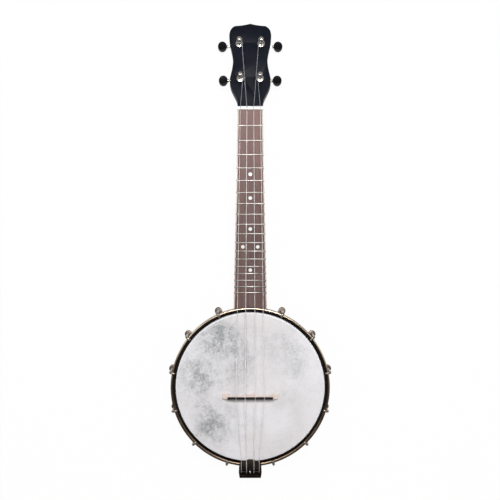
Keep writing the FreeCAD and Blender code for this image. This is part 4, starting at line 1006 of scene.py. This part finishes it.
def bentRoute(corners):
    # points along straight runs that bend round each inner corner
    points = [corners[0][0]]
    for (before, _), (corner, bend), (after, _) in zip(corners, corners[1:], corners[2:]):
        back = (before - corner).normalized()
        on = (after - corner).normalized()
        half = back.angle(on) / 2
        if bend == 0 or half > turn / 4 - 1e-4:
            points.append(corner)
            continue
        centre = corner + (back + on).normalized() * (bend / math.sin(half))
        start = corner + back * (bend / math.tan(half)) - centre
        end = corner + on * (bend / math.tan(half)) - centre
        steps = max(2, int(start.angle(end) / math.radians(9)))
        points.extend(centre + start.slerp(end, i / steps).normalized() * bend for i in range(steps + 1))
    points.append(corners[-1][0])
    return points


def makeStrings():
    intoHead = headPlace.inverted()
    for nodeName, (diameter, atNut, atBridge, atTail, level, side) in stringSizes.items():
        r = diameter / 2
        s = routeSizes
        wrap = s["barRadius"] + 0.05 + r
        over = s["plateTop"] + r + 0.01
        edge = s["window"] - 0.6
        back = s["bar"] - wrap
        # the run from the bar up to the plate's front edge touches the bar's back
        away = Vector((s["bar"] - edge, s["barHeight"] - over))
        slope = math.atan2(away.y, away.x) - math.asin(wrap / away.length)
        corners = [
            (Vector((atTail, s["window"] + 1.0, s["barHeight"] - wrap)), 0),
            (Vector((atTail, back, s["barHeight"] - wrap)), wrap * 0.98),
            (Vector((atTail, back, over + (back - edge) * math.tan(slope))), wrap * 0.98),
            (Vector((atTail, edge, over)), 1.6), (Vector((atTail, s["plateFront"] - 2.0, over)), 12.0),
            (Vector((atBridge, s["bridge"], s["bridgeTop"] + r)), 10.0)]
        corners = [(potPlace @ point, bend * 0.001) for point, bend in corners]
        nutTop = neckPlace @ Vector((atNut, neck["nutFront"] + 1.8, neck["boardTop"] + 1.5 + r))
        corners.append((nutTop, 0.008))
        along, across = tunerSizes[level]
        across *= side
        around = tunerSizes["postRadius"] + 0.1 + r
        start = intoHead @ nutTop
        toPost = Vector((across - start.x, along - start.y))
        swing = math.asin(around / toPost.length)
        spin = -side
        bearing = math.atan2(toPost.y, toPost.x) - spin * swing
        run = toPost.length * math.cos(swing)
        touch = (start.x + run * math.cos(bearing), start.y + run * math.sin(bearing))
        phase = math.atan2(touch[1] - along, touch[0] - across)
        rise = (diameter + s["gap"]) / turn
        coil = []
        for i in range(s["turnSteps"] * s["turns"] + 1):
            angle = turn * i / s["turnSteps"]
            coil.append(Vector((across + around * math.cos(phase + spin * angle),
                                along + around * math.sin(phase + spin * angle), s["rise"] + rise * angle)))
        coil.append(coil[-1] + (coil[-1] - coil[-2]).normalized() * s["tail"])
        lead = coil[0] - (coil[1] - coil[0]).normalized() * 2.0
        corners += [(headPlace @ lead, 0.006), (headPlace @ coil[0], 0)]
        points = bentRoute(corners) + [headPlace @ point for point in coil[1:]]
        route = bpy.data.curves.new(nodeName + "Route", "CURVE")
        route.dimensions = "3D"
        spline = route.splines.new("POLY")
        spline.points.add(len(points) - 1)
        for spot, point in zip(spline.points, points):
            spot.co = (*point, 1.0)
        name = nodeName.replace("_", "")
        mesh = grown(name, stringTree, {"Radius": r * 0.001, "Sides": 14, "Material": nylon}, route)
        finishPiece(name + "Cord", mesh, nylon, "instrument", [nodeName], 50)


makeStrings()

print("finishes on the kept forms")

# the flesh hoop's near-black is painted shade in the gap beside the head
kept = {"rim": rimPlies, "tone_ring": brass, "flesh_hoop": gapShadeMetal, "fretboard": boardWood,
        # the tailpiece bar takes the plate's dark bronze, as painted shade in the tailpiece's window
        "fret_markers": pearl, "side_markers": dots, "tailpiece_bar": tailBronze, "tailpiece_hook": nickel,
        "tailpiece_nut": nickel, "coordinator_rod": steel, "rod_nuts": steel, "rod_washers": steel,
        "neck_hanger_bolt": steel, "tail_bolt": steel}
for nodeName, look in kept.items():
    slots = nodes[nodeName].data.materials
    slots.clear()
    slots.append(look)

print("studio")

studio = {"floorDrop": 0.0004, "floorSize": 14.0, "floorWhite": 0.97, "floorGrey": 0.9, "worldGrey": 0.22,
          # lamps: place, what each is aimed at, size and power
          "lamps": {"key": ((-1.0, 0.3, 1.5), (0, -0.1, 0), (0.8, 1.2), 4.0),
                    "top": ((0.05, 0.5, 1.7), (0, -0.15, 0), (0.8, 0.3), 24.0),
                    "fill": ((1.2, 0.1, 1.3), (0, -0.1, 0), (0.6, 1.2), 3.0)},
          # the camera's lens, its place from the middle of the head, and how it leans from straight down
          "lens": 57.6, "stand": (-0.00562, 0.21157, 1.14285), "lean": (0.023185, 0.004819, -0.000215)}


def makeFloor():
    # plain white to the camera, a grey floor to the light, which keeps the object's shadow
    low = -studio["floorDrop"]
    size = studio["floorSize"] / 2
    mesh = bpy.data.meshes.new("floor")
    mesh.from_pydata([(-size, -size, low), (size, -size, low), (size, size, low), (-size, size, low)], [],
                     [(0, 1, 2, 3)])
    material = bpy.data.materials.new("paleFloor")
    material.use_nodes = True
    material.node_tree.nodes.clear()
    net = Net(material.node_tree)
    ray = net.node("ShaderNodeLightPath")
    seen = net.maths("MAXIMUM", net.maths("MAXIMUM", ray["Is Camera Ray"], ray["Is Glossy Ray"]),
                     ray["Is Transmission Ray"])
    grey = studio["floorGrey"]
    plain = net.node("ShaderNodeBsdfDiffuse", {}, {"Color": (grey, grey, grey, 1)})["BSDF"]
    white = net.node("ShaderNodeEmission", {}, {"Color": (1, 1, 1, 1), "Strength": 1.0})["Emission"]
    both = net.node("ShaderNodeMixShader", {}, {0: seen * studio["floorWhite"], 1: plain, 2: white})["Shader"]
    net.node("ShaderNodeOutputMaterial", {}, {"Surface": both})
    mesh.materials.append(material)
    floor = bpy.data.objects.new("floor", mesh)
    bpy.context.scene.collection.objects.link(floor)


def makeWorld():
    world = bpy.data.worlds.new("studioWorld")
    bpy.context.scene.world = world
    world.use_nodes = True
    world.node_tree.nodes.clear()
    net = Net(world.node_tree)
    ray = net.node("ShaderNodeLightPath")
    seen = net.maths("MAXIMUM", ray["Is Camera Ray"], ray["Is Transmission Ray"])
    grey = studio["worldGrey"]
    room = net.node("ShaderNodeBackground", {}, {"Color": (grey, grey, grey * 1.02, 1)})["Background"]
    white = net.node("ShaderNodeBackground", {}, {"Color": (1, 1, 1, 1)})["Background"]
    both = net.node("ShaderNodeMixShader", {}, {0: seen, 1: room, 2: white})["Shader"]
    net.node("ShaderNodeOutputWorld", {}, {"Surface": both})


def makeLamp(name, place, aim, size, power):
    light = bpy.data.lights.new(name, "AREA")
    light.shape = "RECTANGLE"
    light.size, light.size_y = size
    light.energy = power
    lamp = bpy.data.objects.new(name, light)
    bpy.context.scene.collection.objects.link(lamp)
    lamp.matrix_world = (Matrix.Translation(place)
                         @ (Vector(aim) - Vector(place)).to_track_quat("-Z", "Y").to_matrix().to_4x4())


def makeCamera():
    # straight down on the head, a little towards the neck, as the photograph is taken
    camera = bpy.data.cameras.new("camera")
    camera.sensor_width = 36.0
    camera.lens = studio["lens"]
    camera.clip_end = 50.0
    holder = bpy.data.objects.new("camera", camera)
    bpy.context.scene.collection.objects.link(holder)
    x, y, z = studio["lean"]
    lean = Matrix.Rotation(z, 3, "Z") @ Matrix.Rotation(y, 3, "Y") @ Matrix.Rotation(x, 3, "X")
    stand = Matrix.Translation(Vector(studio["stand"]) + Vector((0, potMiddle, 0)))
    holder.matrix_world = stand @ lean.transposed().to_4x4()
    bpy.context.scene.camera = holder


makeFloor()
makeWorld()
for name, (place, aim, size, power) in studio["lamps"].items():
    makeLamp(name, place, aim, size, power)
makeCamera()
bpy.context.scene.view_settings.view_transform = "Standard"
